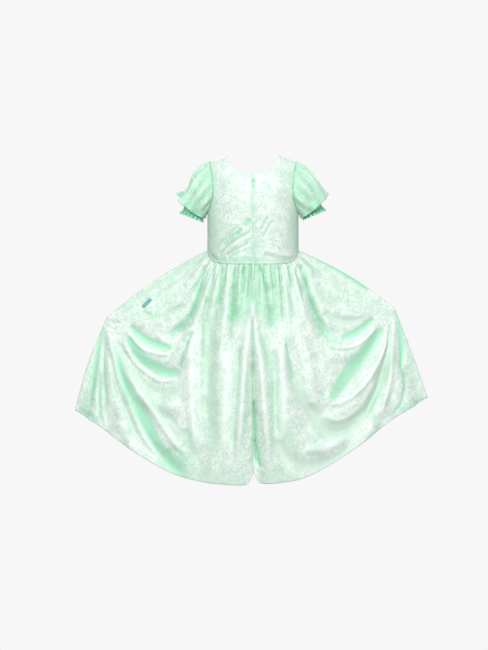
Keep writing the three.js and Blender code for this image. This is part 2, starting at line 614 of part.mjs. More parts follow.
// Point on a wall's outer face at a fractional row and column, on the triangle that lies there.
function onPanel(outer, r, c) {
  const row = Math.floor(r);
  const col = Math.floor(c);
  const [down, over] = [r - row, c - col];
  const start = outer[row][col];
  const far = outer[row + 1][col + 1];
  const corner = over >= down ? outer[row][col + 1] : outer[row + 1][col];
  const p = start.clone();
  const first = corner.clone().sub(start);
  const second = far.clone().sub(corner);
  const normal = over >= down ? first.clone().cross(second) : second.clone().cross(first);
  p.addScaledVector(first, over >= down ? over : down);
  p.addScaledVector(second, over >= down ? down : over);
  return { p, normal: normal.normalize() };
}

// Blank label, a small wall laid along the left back panel. Its length and width are measured in x and z.
function sideLabel(panel) {
  const outer = panel.userData.outer;
  const row = Math.floor(label.row);
  const col = Math.floor(label.column);
  const over = outer[row][col + 1].clone().sub(outer[row][col]);
  const down = outer[row + 1][col].clone().sub(outer[row][col]);
  const cell = over.x * down.z - over.z * down.x;
  const [along, across] = [Math.cos(degrees(label.tilt)), Math.sin(degrees(label.tilt))];
  const { normal: outwards } = onPanel(outer, label.row, label.column);
  return clothWall({
    rows: labelGrid.rows,
    columns: labelGrid.columns,
    thickness: label.thickness,
    facing: 1,
    pointAt(r, c) {
      const u = label.length * (c / labelGrid.columns - 0.5);
      const w = label.width * (0.5 - r / labelGrid.rows);
      const x = u * along - w * across;
      const z = u * across + w * along;
      const addRow = (over.x * z - over.z * x) / cell;
      const addColumn = (x * down.z - z * down.x) / cell;
      const { p } = onPanel(outer, label.row + addRow, label.column + addColumn);
      return p.addScaledVector(outwards, layGap);
    },
    normalAt: () => outwards.clone(),
  });
}

const dress = new THREE.Group();
const velvetLook = new THREE.MeshStandardMaterial({ color: mint, roughness: 0.45, metalness: 0 });
const satinLook = new THREE.MeshStandardMaterial({ color: satinMint, roughness: 0.5, metalness: 0 });
const labelLook = new THREE.MeshStandardMaterial({ color: teal, roughness: 0.7, metalness: 0 });
const zipLook = new THREE.MeshStandardMaterial({ color: zipMint, roughness: 0.4, metalness: 0 });

function addPiece(name, geometry, material, parent = dress) {
  const mesh = new THREE.Mesh(geometry, material);
  mesh.name = name;
  parent.add(mesh);
  return mesh;
}

addPiece("bodice_front", bodiceFront(), velvetLook);
addPiece("bodice_back_left", bodiceBack(1), velvetLook);
addPiece("bodice_back_right", bodiceBack(-1), velvetLook);
addPiece("skirt_front", skirtFront(), velvetLook);
const leftPanel = addPiece("skirt_back_left", skirtBack(held.left), velvetLook);
addPiece("skirt_back_right", skirtBack(held.right), velvetLook);
addPiece("sleeve_left", sleeve(held.left), velvetLook);
addPiece("sleeve_right", sleeve(held.right), velvetLook);
addPiece("undersleeve_left", undersleeve(held.left), satinLook);
addPiece("undersleeve_right", undersleeve(held.right), satinLook);
addPiece("zip_chain", zipChain(), zipLook);
addPiece("side_label", sideLabel(leftPanel.geometry), labelLook);

const zipHead = new THREE.Group();
zipHead.position.set(0, centreBackY(slider.z) + velvet + slider.lift, slider.z);
zipHead.rotation.x = degrees(slider.tilt);
dress.add(zipHead);
addPiece("zip_slider", sliderGeometry(), zipLook, zipHead);
const tab = addPiece("zip_pull", pullGeometry(), zipLook, zipHead);
tab.position.set(0, slider.thickness + (bridge.rise - bridge.wall) / 2, -(bridge.from + bridge.to) / 2);

export default dress;
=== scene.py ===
import math

import bpy
import mathutils
import numpy as np
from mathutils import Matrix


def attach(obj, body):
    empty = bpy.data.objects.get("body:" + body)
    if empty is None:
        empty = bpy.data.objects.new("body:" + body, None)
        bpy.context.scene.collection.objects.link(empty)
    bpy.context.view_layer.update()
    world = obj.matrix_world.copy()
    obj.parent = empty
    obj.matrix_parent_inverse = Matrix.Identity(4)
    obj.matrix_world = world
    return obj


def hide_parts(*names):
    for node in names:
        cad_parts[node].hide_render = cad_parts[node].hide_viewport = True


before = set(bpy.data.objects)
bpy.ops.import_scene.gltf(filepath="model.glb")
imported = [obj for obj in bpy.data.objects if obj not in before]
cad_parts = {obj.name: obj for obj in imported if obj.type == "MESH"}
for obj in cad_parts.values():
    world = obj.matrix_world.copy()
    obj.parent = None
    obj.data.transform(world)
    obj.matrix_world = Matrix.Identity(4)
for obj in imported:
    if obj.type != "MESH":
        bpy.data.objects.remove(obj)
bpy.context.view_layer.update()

# All shapes are worked out in millimetres, in the frame of the CAD part, and scaled when a mesh is made.
mm = 0.001
seamGap = 0.4
seamCrease = 0.08
clothWall = 1.3
torso = {"halfWidth": 106.0, "depthBack": 82.0, "depthFront": 86.0, "domeHeight": 120.0}
waist = {"centreZ": -250.0, "sideZ": -219.0, "risePower": 3}


def mix(a, b, t):
    return a + (b - a) * t


def clamp01(t):
    return np.clip(t, 0.0, 1.0)


def smooth(t):
    t = clamp01(t)
    return t * t * (3 - 2 * t)


def stack(x, y, z):
    return np.stack(np.broadcast_arrays(x, y, z), -1).astype(float)


# Smooth line through given points.
def curveThrough(points, steps=8):
    p = np.array([points[0], *points, points[-1]], float)
    t = np.linspace(0, 1, steps, endpoint=False)[:, None]
    parts = []
    for a, b, c, d in zip(p, p[1:], p[2:], p[3:]):
        bend = 2 * b + (c - a) * t + (2 * a - 5 * b + 4 * c - d) * t**2 + (3 * b - a - 3 * c + d) * t**3
        parts.append(bend / 2)
    return np.concatenate([*parts, p[-1:]])


def nearestOn(curve, x, z):
    best = np.full(x.shape, 1e9)
    share = np.zeros(x.shape)
    count = len(curve) - 1
    for i in range(count):
        a = curve[i]
        d = curve[i + 1] - a
        t = clamp01(((x - a[0]) * d[0] + (z - a[1]) * d[1]) / max(d @ d, 1e-6))
        gap = np.hypot(x - a[0] - d[0] * t, z - a[1] - d[1] * t)
        closer = gap < best
        best = np.where(closer, gap, best)
        share = np.where(closer, (i + t) / count, share)
    return best, share


# The tone's channels are painted light: smooth mint shade where the nap lies flat, smooth grey green shade,
# deep shade, a painted highlight on the crest of a ridge and a greener painted shade.
mintShadeTone, greyShadeTone, deepShadeTone, highlightTone, greenShadeTone = range(5)
shadeChannels = (mintShadeTone, greyShadeTone, deepShadeTone, greenShadeTone)


def raiseTone(tone, channel, amount):
    tone[..., channel] = np.maximum(tone[..., channel], amount)


# Lift, painted shade and painted highlight that a table of creases gives to the cloth at x and z.
def layCreases(table, x, z, troughScale, ridgeScale):
    lift = np.zeros(x.shape)
    tone = np.zeros((*x.shape, 5))
    for _, points, width, depth, *shadeAmounts in table:
        gap, share = nearestOn(curveThrough(points), x, z)
        wide = 1.25 if depth > 0 else 1.0
        reach = wide * width * (0.62 + 0.38 * np.sin(np.pi * share) ** 0.7)
        fade = smooth(share / 0.12) * smooth((1 - share) / 0.2)
        scale = ridgeScale if depth > 0 else troughScale
        lift += scale * depth * fade * np.exp(-((gap / reach) ** 2))
        # Ridges get a painted highlight along their crests.
        if depth > 0:
            crestHighlight = min(1, depth / 5) * fade * np.exp(-((gap / (0.75 * reach)) ** 2))
            raiseTone(tone, highlightTone, crestHighlight)
        # Bands of painted shade on the smooth nap run out to a point.
        taper = width * (0.12 + 0.88 * np.sin(np.pi * share) ** 0.55)
        ends = smooth(share / 0.06) * smooth((1 - share) / 0.1)
        band = ends * np.exp(-((gap / taper) ** 4))
        core = fade * np.exp(-((gap / (0.6 * taper)) ** 2))
        around = fade * np.exp(-((gap / (1.3 * width)) ** 2))
        for channel, shadeAmount, shape in zip(shadeChannels, shadeAmounts, (band, band, core, around)):
            raiseTone(tone, channel, shadeAmount * shape)
    return lift, tone


def gridNormals(points, ring):
    if ring:
        across = np.roll(points, -1, 1) - np.roll(points, 1, 1)
    else:
        across = np.gradient(points, axis=1)
    down = np.gradient(points, axis=0)
    normal = np.cross(across, down)
    return normal / np.maximum(np.linalg.norm(normal, axis=-1, keepdims=True), 1e-9)


# Closed wall of cloth on a grid of its inner face. flat holds the cut's own coordinates in metres, with one
# more column than the grid where it closes into a ring.
def clothShell(name, inner, wall, facing, flat, tone, ring=False, normal=None, keep=None):
    rows, width = inner.shape[0] - 1, inner.shape[1]
    columns = width if ring else width - 1
    if normal is None:
        normal = gridNormals(inner, ring) * facing
    outer = inner + normal * np.broadcast_to(wall, inner.shape[:2])[..., None]
    if keep:
        keep(outer, inner)

    def faces(r, c, corners):
        r, c = [np.ravel(a) for a in np.broadcast_arrays(r, c)]
        return np.stack([np.stack([np.full(r.shape, k), r + dr, c + dc], -1) for k, dr, dc in corners], 1)

    allRows, allColumns = np.arange(rows)[:, None], np.arange(columns)[None, :]
    groups = [
        faces(allRows, allColumns, [(0, 0, 0), (0, 0, 1), (0, 1, 1), (0, 1, 0)]),
        faces(allRows, allColumns, [(1, 0, 0), (1, 1, 0), (1, 1, 1), (1, 0, 1)]),
        faces(0, allColumns, [(0, 0, 0), (1, 0, 0), (1, 0, 1), (0, 0, 1)]),
        faces(rows, allColumns, [(0, 0, 0), (0, 0, 1), (1, 0, 1), (1, 0, 0)]),
    ]
    if not ring:
        groups.append(faces(allRows, 0, [(0, 0, 0), (0, 1, 0), (1, 1, 0), (1, 0, 0)]))
        groups.append(faces(allRows, columns, [(0, 0, 0), (1, 0, 0), (1, 1, 0), (0, 1, 0)]))
    corners = np.concatenate(groups)
    if facing < 0:
        corners = corners[:, ::-1]
    layer, row, col = corners[..., 0], corners[..., 1], corners[..., 2]
    index = (layer * (rows + 1) + row) * width + col % width
    points = np.concatenate([outer.reshape(-1, 3), inner.reshape(-1, 3)]) * mm
    mesh = bpy.data.meshes.new(name)
    mesh.from_pydata(points.tolist(), [], index.tolist())
    mesh.polygons.foreach_set("use_smooth", np.ones(len(index), bool))
    uv = mesh.uv_layers.new(name="flat")
    uv.data.foreach_set("uv", flat[row, col].astype(np.float32).ravel())
    shade = mesh.color_attributes.new(name="tone", type="FLOAT_COLOR", domain="POINT")
    # The inner face takes the painted shade and highlight at a lower strength.
    tone = np.concatenate([tone.reshape(-1, 5), 0.4 * tone.reshape(-1, 5)])
    shade.data.foreach_set("color", tone[:, :4].astype(np.float32).ravel())
    wash = mesh.attributes.new("wash", "FLOAT", "POINT")
    wash.data.foreach_set("value", tone[:, 4].astype(np.float32))
    face = mesh.attributes.new("nap", "FLOAT", "POINT")
    face.data.foreach_set("value", np.repeat([1.0, 0.0], len(tone) // 2).astype(np.float32))
    mesh.update()
    return placed(name, mesh), outer


def placed(name, mesh):
    obj = bpy.data.objects.new(name, mesh)
    bpy.context.scene.collection.objects.link(obj)
    return obj


def finishPiece(obj, material, body, node=None):
    obj.data.materials.clear()
    obj.data.materials.append(material)
    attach(obj, body)
    if node:
        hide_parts(node)
    return obj


# Skirt. The large folds are the CAD part's, as curves x0, z0, x1, z1, x2, z2 with a width and a depth.
mainFolds = [
    (2, -400, 1, -620, -8, -800, 15, -30),
    (8, -380, 22, -560, 40, -800, 17, 11),
    (-6, -380, -20, -560, -48, -800, 17, 13),
    (42, -290, 46, -370, 66, -480, 15, -9),
    (70, -330, 84, -540, 90, -800, 20, 12),
    (104, -330, 92, -540, 140, -780, 20, -11),
    (112, -262, 132, -360, 168, -520, 15, 11),
    (300, -376, 232, -420, 128, -300, 15, 8),
    (296, -384, 225, -500, 134, -360, 15, -11),
    (306, -398, 232, -536, 140, -420, 15, 11),
    (310, -414, 236, -580, 142, -470, 15, -12),
    (322, -424, 262, -640, 150, -560, 15, 11),
    (334, -400, 300, -600, 190, -690, 15, 9),
    (338, -400, 318, -620, 160, -750, 15, -13),
    (342, -400, 336, -610, 250, -730, 15, 10),
    (-34, -290, -42, -350, -52, -430, 15, -9),
    (-70, -360, -84, -540, -96, -800, 19, 12),
    (-108, -262, -140, -370, -176, -440, 15, -10),
    (-104, -300, -128, -460, -150, -600, 15, 10),
    (-290, -358, -226, -404, -130, -296, 15, 8),
    (-296, -366, -240, -450, -160, -392, 15, -10),
    (-300, -378, -232, -508, -164, -440, 15, 11),
    (-306, -390, -248, -520, -176, -590, 15, -14),
    (-320, -400, -262, -640, -130, -600, 15, 12),
    (-328, -400, -286, -700, -100, -560, 19, -12),
    (-332, -390, -318, -640, -190, -720, 15, 11),
]

# Finer creases, each with its points, width, depth and the amounts of its painted shade: smooth mint, smooth
# grey green, deep shade and greener crush.
skirtCreases = [
    ("leftSideSeamPull", [(331, -373), (221, -318), (154, -269)], 4, -2.5, 0, 0.2, 0.25),
    ("leftSideSeamRidge", [(328, -382), (219, -328), (148, -278)], 6, 2),
    (
        "leftEdgeStrip",
        [(112, -228), (172, -264), (232, -304), (290, -340), (334, -366)],
        6.5, 0, 0.15, 0.55, 0.12, 0.6,
    ),
    ("leftHoldPucker", [(340, -382), (328, -387), (312, -389)], 4, -3, 0.1, 0, 0.25),
    ("leftHighSwag", [(259, -363), (229, -374), (191, -360), (153, -343)], 7, -4, 0.1, 0.3, 0, 0.6),
    (
        "leftWaistValley",
        [(111, -248), (119, -292), (131, -343), (151, -380), (175, -401), (203, -418)],
        9, -7, 0.3, 0.1, 0.25, 0.9,
    ),
    ("leftWaistValleyCore", [(117, -287), (127, -324), (140, -359), (151, -378)], 3.8, -3, 0.2, 0, 0.9),
    ("leftValleyRidge", [(228, -414), (197, -432), (168, -417), (133, -390)], 6, 4),
    ("leftSwagOne", [(290, -392), (271, -412), (244, -430), (213, -441), (186, -445)], 10, -4, 1, 0, 0.05),
    ("leftSwagOneRidge", [(293, -408), (264, -441), (227, -457), (189, -459)], 4, 6),
    (
        "leftSwagTwo",
        [(295, -418), (274, -449), (251, -474), (223, -491), (196, -502), (162, -497)],
        15, -4, 1, 0, 0.05,
    ),
    ("leftSwagTwoRidge", [(305, -434), (277, -478), (245, -505), (212, -521), (171, -513)], 4, 6),
    ("leftSwagEnd", [(169, -495), (162, -462), (151, -430), (139, -402)], 4.5, -4, 0.2, 0.3, 0.4, 0.6),
    (
        "leftGreyBand",
        [(316, -427), (305, -465), (285, -501), (257, -529), (226, -546), (192, -545), (171, -524)],
        16, -4, 0, 0.5, 0, 0.3,
    ),
    ("leftGreyPatch", [(235, -566), (202, -601), (173, -618)], 15, -3, 0, 0.4, 0.05, 0.4),
    ("leftGreyPatchLow", [(159, -627), (145, -665), (131, -699)], 13, -2, 0.1, 0.3, 0, 0.6),
    (
        "leftLongFold",
        [(321, -453), (306, -509), (286, -552), (261, -597), (235, -646), (206, -688), (178, -722),
         (148, -754)],
        15, -4, 1,
    ),
    ("leftLongFoldWide", [(281, -563), (249, -617), (222, -660)], 17, -2, 1),
    (
        "leftLongFoldOuter",
        [(342, -396), (331, -457), (316, -516), (291, -570), (271, -618), (244, -665), (208, -712)],
        5, 6,
    ),
    ("leftLongFoldInner", [(296, -499), (259, -555), (223, -604), (190, -651), (159, -687)], 6, 5),
    (
        "leftOuterGrey",
        [(335, -441), (326, -500), (315, -549), (297, -594), (275, -641), (242, -688)],
        6, -4, 0.1, 0.65, 0.1, 0.3,
    ),
    ("leftHoldFoldOne", [(354, -396), (365, -453), (375, -532), (385, -595)], 7, -5, 0.65, 0.1, 0.1, 0.7),
    ("leftHoldFoldTwo", [(348, -403), (350, -495), (346, -551), (341, -621)], 5, -4, 0.5, 0.2, 0.1, 0.5),
    ("leftHoldFoldThree", [(359, -505), (361, -567), (357, -625)], 5, -3, 0.5, 0.1, 0.1, 0.5),
    ("leftHoldRidge", [(362, -415), (382, -489), (404, -567)], 7, 4),
    ("leftHoldRidgeTwo", [(354, -441), (365, -505), (371, -583)], 5, 3.5),
    ("leftCornerShade", [(416, -593), (385, -605), (358, -627)], 7, -1, 0.1, 0, 0.1, 0.8),
    ("leftOuterWash", [(363, -429), (385, -536), (380, -607)], 26, 0, 0, 0, 0, 0.4),
    (
        "leftGreyHang",
        [(93, -324), (100, -402), (102, -493), (94, -595), (85, -687)],
        17, -5, 0.05, 0.4, 0, 0.5,
    ),
    ("leftGreyHangCore", [(109, -324), (115, -402), (111, -482)], 4, -4, 0.1, 0.2, 0.35, 0.3),
    ("leftPaleHang", [(137, -414), (146, -494), (141, -585), (131, -688)], 10, 6),
    ("leftPaleHangTwo", [(121, -384), (126, -493), (120, -619)], 5, 3.5),
    ("leftPaleInner", [(58, -447), (62, -561), (67, -693)], 12, 5),
    ("leftGreyInner", [(32, -435), (39, -560), (46, -686)], 8, -4, 0, 0.3, 0, 0.4),
    ("leftMidShade", [(115, -550), (99, -630), (92, -703)], 12, -2, 0.05, 0.3, 0, 0.5),
    ("leftGatherOne", [(19, -245), (20, -282), (23, -325)], 4, -5, 0.2, 0, 0.95, 0.3),
    ("leftGatherTwo", [(42, -245), (45, -314), (47, -367), (55, -440)], 4, -4.5, 0.3, 0, 0.6, 0.3),
    ("leftGatherThree", [(70, -245), (72, -287), (79, -360)], 5, -4, 0.3, 0.1, 0.35, 0.4),
    ("leftGatherFour", [(86, -245), (96, -298), (107, -361)], 5, -3.5, 0.3, 0, 0.25, 0.4),
    ("leftGatherFive", [(59, -247), (60, -275), (65, -309)], 3.5, -3, 0.1, 0, 0.5, 0.2),
    ("leftGatherRidgeOne", [(30, -245), (33, -300), (35, -362)], 5, 3),
    ("leftGatherRidgeTwo", [(56, -245), (60, -332), (69, -424)], 6, 4),
    ("leftGatherRidgeThree", [(79, -247), (91, -310), (102, -390)], 5, 3.5),
    ("leftFoldTail", [(198, -670), (168, -712), (136, -746)], 20, 0, 0.15, 0, 0.08, 0.8),
    ("leftHemGrey", [(226, -706), (160, -738), (90, -750), (20, -748)], 26, 0, 0, 0.5, 0, 0.4),
    ("rightHemGrey", [(-12, -744), (-60, -748), (-110, -740)], 24, 0, 0, 0.5, 0, 0.3),
    ("leftWingGrey", [(322, -372), (248, -327), (172, -281), (122, -243)], 28, 0, 0, 0.12, 0, 0.2),
    ("leftSideWave", [(155, -295), (195, -328), (238, -375)], 10, -3, 0, 0.15, 0, 0.4),
    ("centreFold", [(3, -373), (0, -446), (-2, -526), (-6, -685)], 5, -6, 0.15, 0.1, 0.1, 0.3),
    ("centreFoldLow", [(-3, -560), (-5, -630), (-6, -702)], 6, -5, 0.35, 0, 0.9, 0.3),
    ("centreFoot", [(-4, -651), (-11, -688), (-18, -720)], 7, -4, 0.4, 0, 0.6, 0.6),
    ("centrePeakLeft", [(4, -333), (14, -425), (26, -560), (37, -693)], 8, 7),
    ("centrePeakRight", [(2, -333), (-11, -425), (-25, -560), (-36, -693)], 9, 7),
    ("centreGreyRight", [(-10, -391), (-28, -450), (-47, -510)], 9, -3, 0.1, 0.3, 0.15, 0.5),
    ("peakShadeLeft", [(7, -323), (37, -357), (60, -387)], 13, -1, 0.3, 0, 0.05, 1),
    ("peakShadeRight", [(-2, -318), (-25, -353), (-53, -396)], 13, -1, 0.3, 0, 0.08, 1),
    ("zipWashLeft", [(16, -235), (23, -304), (39, -392)], 28, 0, 0.1, 0, 0.05, 1),
    ("zipWashRight", [(-21, -235), (-34, -305), (-53, -392)], 32, 0, 0.1, 0, 0.05, 1),
    ("leftWaistWash", [(63, -240), (74, -310), (90, -383)], 22, 0, 0, 0, 0, 0.55),
    ("rightWaistWash", [(-111, -241), (-140, -334), (-165, -421)], 16, 0, 0, 0.1, 0, 0.5),
    ("rightGatherOne", [(-14, -245), (-23, -282), (-37, -321)], 5, -5, 0.25, 0, 0.95, 0.3),
    ("rightGatherTwo", [(-48, -245), (-50, -275), (-51, -309)], 3.5, -4, 0.15, 0, 0.5, 0.3),
    ("rightGatherThree", [(-62, -245), (-65, -309), (-71, -394)], 5, -4, 0.25, 0.1, 0.2, 0.4),
    ("rightGatherFour", [(-83, -245), (-86, -305), (-102, -388)], 5, -4, 0.2, 0.1, 0.2, 0.3),
    ("rightGatherRidgeOne", [(-33, -245), (-38, -293), (-46, -355)], 5, 4),
    ("rightGatherRidgeTwo", [(-72, -245), (-76, -314), (-87, -401)], 5, 4),
    (
        "rightWaistValley",
        [(-112, -248), (-119, -283), (-130, -320), (-144, -361), (-163, -401), (-182, -433)],
        7, -7, 0.25, 0.15, 0.3, 0.7,
    ),
    (
        "rightWaistValleyCore",
        [(-118, -276), (-130, -320), (-144, -361), (-157, -391)],
        3.4, -2.5, 0.2, 0, 0.7,
    ),
    ("rightValleyTwo", [(-99, -250), (-107, -299), (-120, -343)], 3, -3, 0.1, 0.1, 0.35, 0.2),
    ("rightValleyRidgeIn", [(-93, -250), (-102, -315), (-121, -372), (-146, -421)], 6, 4),
    ("rightValleyRidgeOut", [(-129, -255), (-141, -309), (-161, -357), (-184, -401)], 7, 4),
    ("rightValleyPatch", [(-151, -375), (-172, -412), (-201, -436)], 11, -2, 0.1, 0.3, 0.1, 0.7),
    ("rightEdgeShade", [(-125, -222), (-179, -251), (-233, -284), (-278, -316)], 6.5, 0, 0.7, 0, 0.65, 0.8),
    ("rightHighSwag", [(-161, -362), (-195, -379), (-234, -382), (-274, -370)], 10, -4, 0.05, 0.95),
    ("rightSwagOne", [(-286, -377), (-257, -399), (-232, -414), (-203, -423)], 10, -4, 1, 0, 0.05),
    ("rightSwagOneRidge", [(-290, -396), (-267, -420), (-235, -440), (-193, -443), (-165, -428)], 4, 6),
    (
        "rightSwagTwo",
        [(-305, -396), (-280, -432), (-248, -470), (-219, -505), (-197, -537), (-176, -566)],
        17, -4.5, 1, 0, 0.05,
    ),
    (
        "rightSwagTwoRidge",
        [(-316, -418), (-302, -463), (-274, -510), (-240, -548), (-206, -569), (-175, -575)],
        5, 7,
    ),
    ("rightPaleCup", [(-289, -517), (-254, -576), (-223, -602), (-192, -610), (-159, -595)], 6, 5),
    (
        "rightBroadBand",
        [(-76, -447), (-89, -511), (-110, -559), (-140, -603), (-168, -634), (-206, -640),
         (-251, -610), (-288, -552), (-321, -486), (-331, -422)],
        14, -6, 0.1, 1,
    ),
    (
        "rightBroadBandWide",
        [(-129, -567), (-154, -608), (-192, -633), (-227, -623), (-256, -585)],
        24, -3, 0, 1,
    ),
    ("rightBroadBandStart", [(-75, -431), (-83, -474), (-94, -522)], 4, -5, 0.3, 0, 0.55, 0.3),
    ("rightHoldFold", [(-337, -356), (-346, -403), (-350, -457), (-347, -505)], 7, -6, 0.95, 0, 0.1),
    ("rightHoldFoldLow", [(-347, -481), (-357, -534), (-345, -580), (-327, -602)], 5, -3, 0.3, 0, 0.1, 0.7),
    ("rightHoldRidge", [(-333, -363), (-328, -453), (-318, -535), (-300, -598)], 5, 5),
    (
        "rightHoldStripeOne",
        [(-326, -382), (-317, -441), (-299, -504), (-276, -567), (-258, -617)],
        6, -5, 0.15, 0.9,
    ),
    ("rightHoldStripeTwo", [(-321, -453), (-309, -511), (-288, -559), (-266, -606)], 4, -3, 0.5, 0.3),
    ("rightHoldFoldOuter", [(-354, -396), (-373, -472), (-388, -555)], 7, -4, 0.2, 0.2, 0, 0.4),
    ("rightHemBand", [(-43, -642), (-80, -693), (-131, -713), (-192, -697), (-249, -656)], 16, -4, 0.05, 0.7),
    ("rightHemHump", [(-119, -674), (-170, -671), (-222, -641)], 10, 5),
    ("rightMottledLow", [(-62, -602), (-80, -664), (-103, -703)], 22, 0, 0, 0.35, 0, 0.4),
    ("rightCentreShade", [(-43, -519), (-52, -583), (-57, -652)], 14, -2, 0, 0.25, 0.05, 0.5),
    ("rightPaleHang", [(-62, -431), (-69, -549), (-66, -663)], 10, 5),
    ("rightGreyHang", [(-51, -440), (-50, -549), (-47, -647)], 8, -4, 0, 0.3, 0, 0.4),
    ("rightCornerShade", [(-407, -567), (-371, -581), (-332, -598)], 7, 0, 0.1, 0, 0.1, 0.6),
    ("rightWingGrey", [(-312, -356), (-248, -322), (-182, -284), (-130, -247)], 26, 0, 0, 0.12, 0, 0.2),
    ("rightSideWave", [(-149, -295), (-191, -326), (-243, -349)], 10, -3, 0, 0.15, 0, 0.4),
]

hem = {"depthBack": 142.0, "depthFront": 138.0, "lensPower": 1.7, "notchRise": 24.0, "notchWidth": 9.0}
hemShares = np.array([0, 0.15, 0.3, 0.45, 0.6, 0.75, 0.88, 1])
heldLeft = {
    "sign": 1,
    "holdX": 344,
    "holdZ": -376,
    "holdAt": 0.543,
    "cornerX": 419,
    "bulge": 8,
    "arch": 12,
    "hemRow": np.array([-755.0, -754, -748, -732, -701, -661, -625, -597]),
}
heldRight = {
    "sign": -1,
    "holdX": 333,
    "holdZ": -352,
    "holdAt": 0.53,
    "cornerX": 412,
    "bulge": 2,
    "arch": 11,
    "hemRow": np.array([-752.0, -750, -738, -709, -669, -624, -593, -566]),
}
skirtLength = 520
rowPower = 1.12
hemStitchUp = 9.5
pullPower = 5
zipSlot = 1.05
gathersPerQuarter = 7
mainShare = 0.6


def mainLift(x, z):
    lift = np.zeros(x.shape)
    t = np.linspace(0, 1, 15)[:, None]
    for x0, z0, x1, z1, x2, z2, width, depth in mainFolds:
        a, b, c = np.array([[x0, z0], [x1, z1], [x2, z2]], float)
        gap, share = nearestOn((1 - t) ** 2 * a + 2 * t * (1 - t) * b + t * t * c, x, z)
        fade = smooth(share / 0.22) * smooth((1 - share) / 0.22)
        lift += mainShare * depth * fade * np.exp(-((gap / width) ** 2))
    return lift


def hemHeight(side, s):
    rows = side["hemRow"]
    last = len(rows) - 1
    i = np.clip(np.searchsorted(hemShares, s, side="right") - 1, 0, last - 1)
    before, after = np.maximum(i - 1, 0), np.minimum(i + 2, last)
    span = hemShares[i + 1] - hemShares[i]
    t = (s - hemShares[i]) / span
    m0 = (rows[i + 1] - rows[before]) / (hemShares[i + 1] - hemShares[before]) * span
    m1 = (rows[after] - rows[i]) / (hemShares[after] - hemShares[i]) * span
    p0, p1 = rows[i], rows[i + 1]
    return (
        p0 * (2 * t**3 - 3 * t * t + 1)
        + m0 * (t**3 - 2 * t * t + t)
        + p1 * (3 * t * t - 2 * t**3)
        + m1 * (t**3 - t * t)
    )


def waistSeamZ(s):
    return mix(waist["centreZ"], waist["sideZ"], smooth(s ** waist["risePower"]))


# Small gathers drawn up by the waist stitching, uneven in depth and length.
def fineGathers(s, v, seed):
    rng = np.random.default_rng(seed)
    lift = np.zeros(s.shape)
    for count, depth, length in ((11, 2.0, 0.24), (17, 1.5, 0.15), (26, 1.0, 0.08), (38, 0.6, 0.05)):
        phase = rng.uniform(0, 2 * np.pi)
        drift = 0.6 * np.sin(2 * np.pi * (rng.uniform(1.2, 2.4) * s + rng.uniform()))
        reach = length * (0.65 + 0.7 * np.abs(np.sin(np.pi * count * 0.31 * s + phase)))
        lift += depth * np.cos(2 * np.pi * count * s + phase + drift) * (1 - smooth(v / reach))
    return lift * (0.3 + 0.7 * smooth(v / 0.025))


# Long soft waves between the placed folds, from -1 to 1.
def hangWaves(s, v, seed):
    rng = np.random.default_rng(seed + 100)
    total = np.zeros(s.shape)
    for count in (3.3, 5.6, 9.1):
        lean = rng.uniform(-0.5, 0.5)
        bend = 0.35 * np.sin(2 * np.pi * (rng.uniform(0.4, 0.9) * v + rng.uniform()))
        swell = 0.6 + 0.4 * np.sin(2 * np.pi * (1.7 * s + rng.uniform() + 0.8 * v))
        total += swell * np.cos(2 * np.pi * (count * s + lean * v + bend + rng.uniform())) / 2.2
    return total


# Painted highlight on the crests of a wave, and greener painted shade in its hollows.
def shadeTone(tone, wave, green, pale):
    raiseTone(tone, greenShadeTone, green * smooth((-wave - 0.1) / 0.9))
    raiseTone(tone, highlightTone, pale * smooth((wave - 0.1) / 0.9))


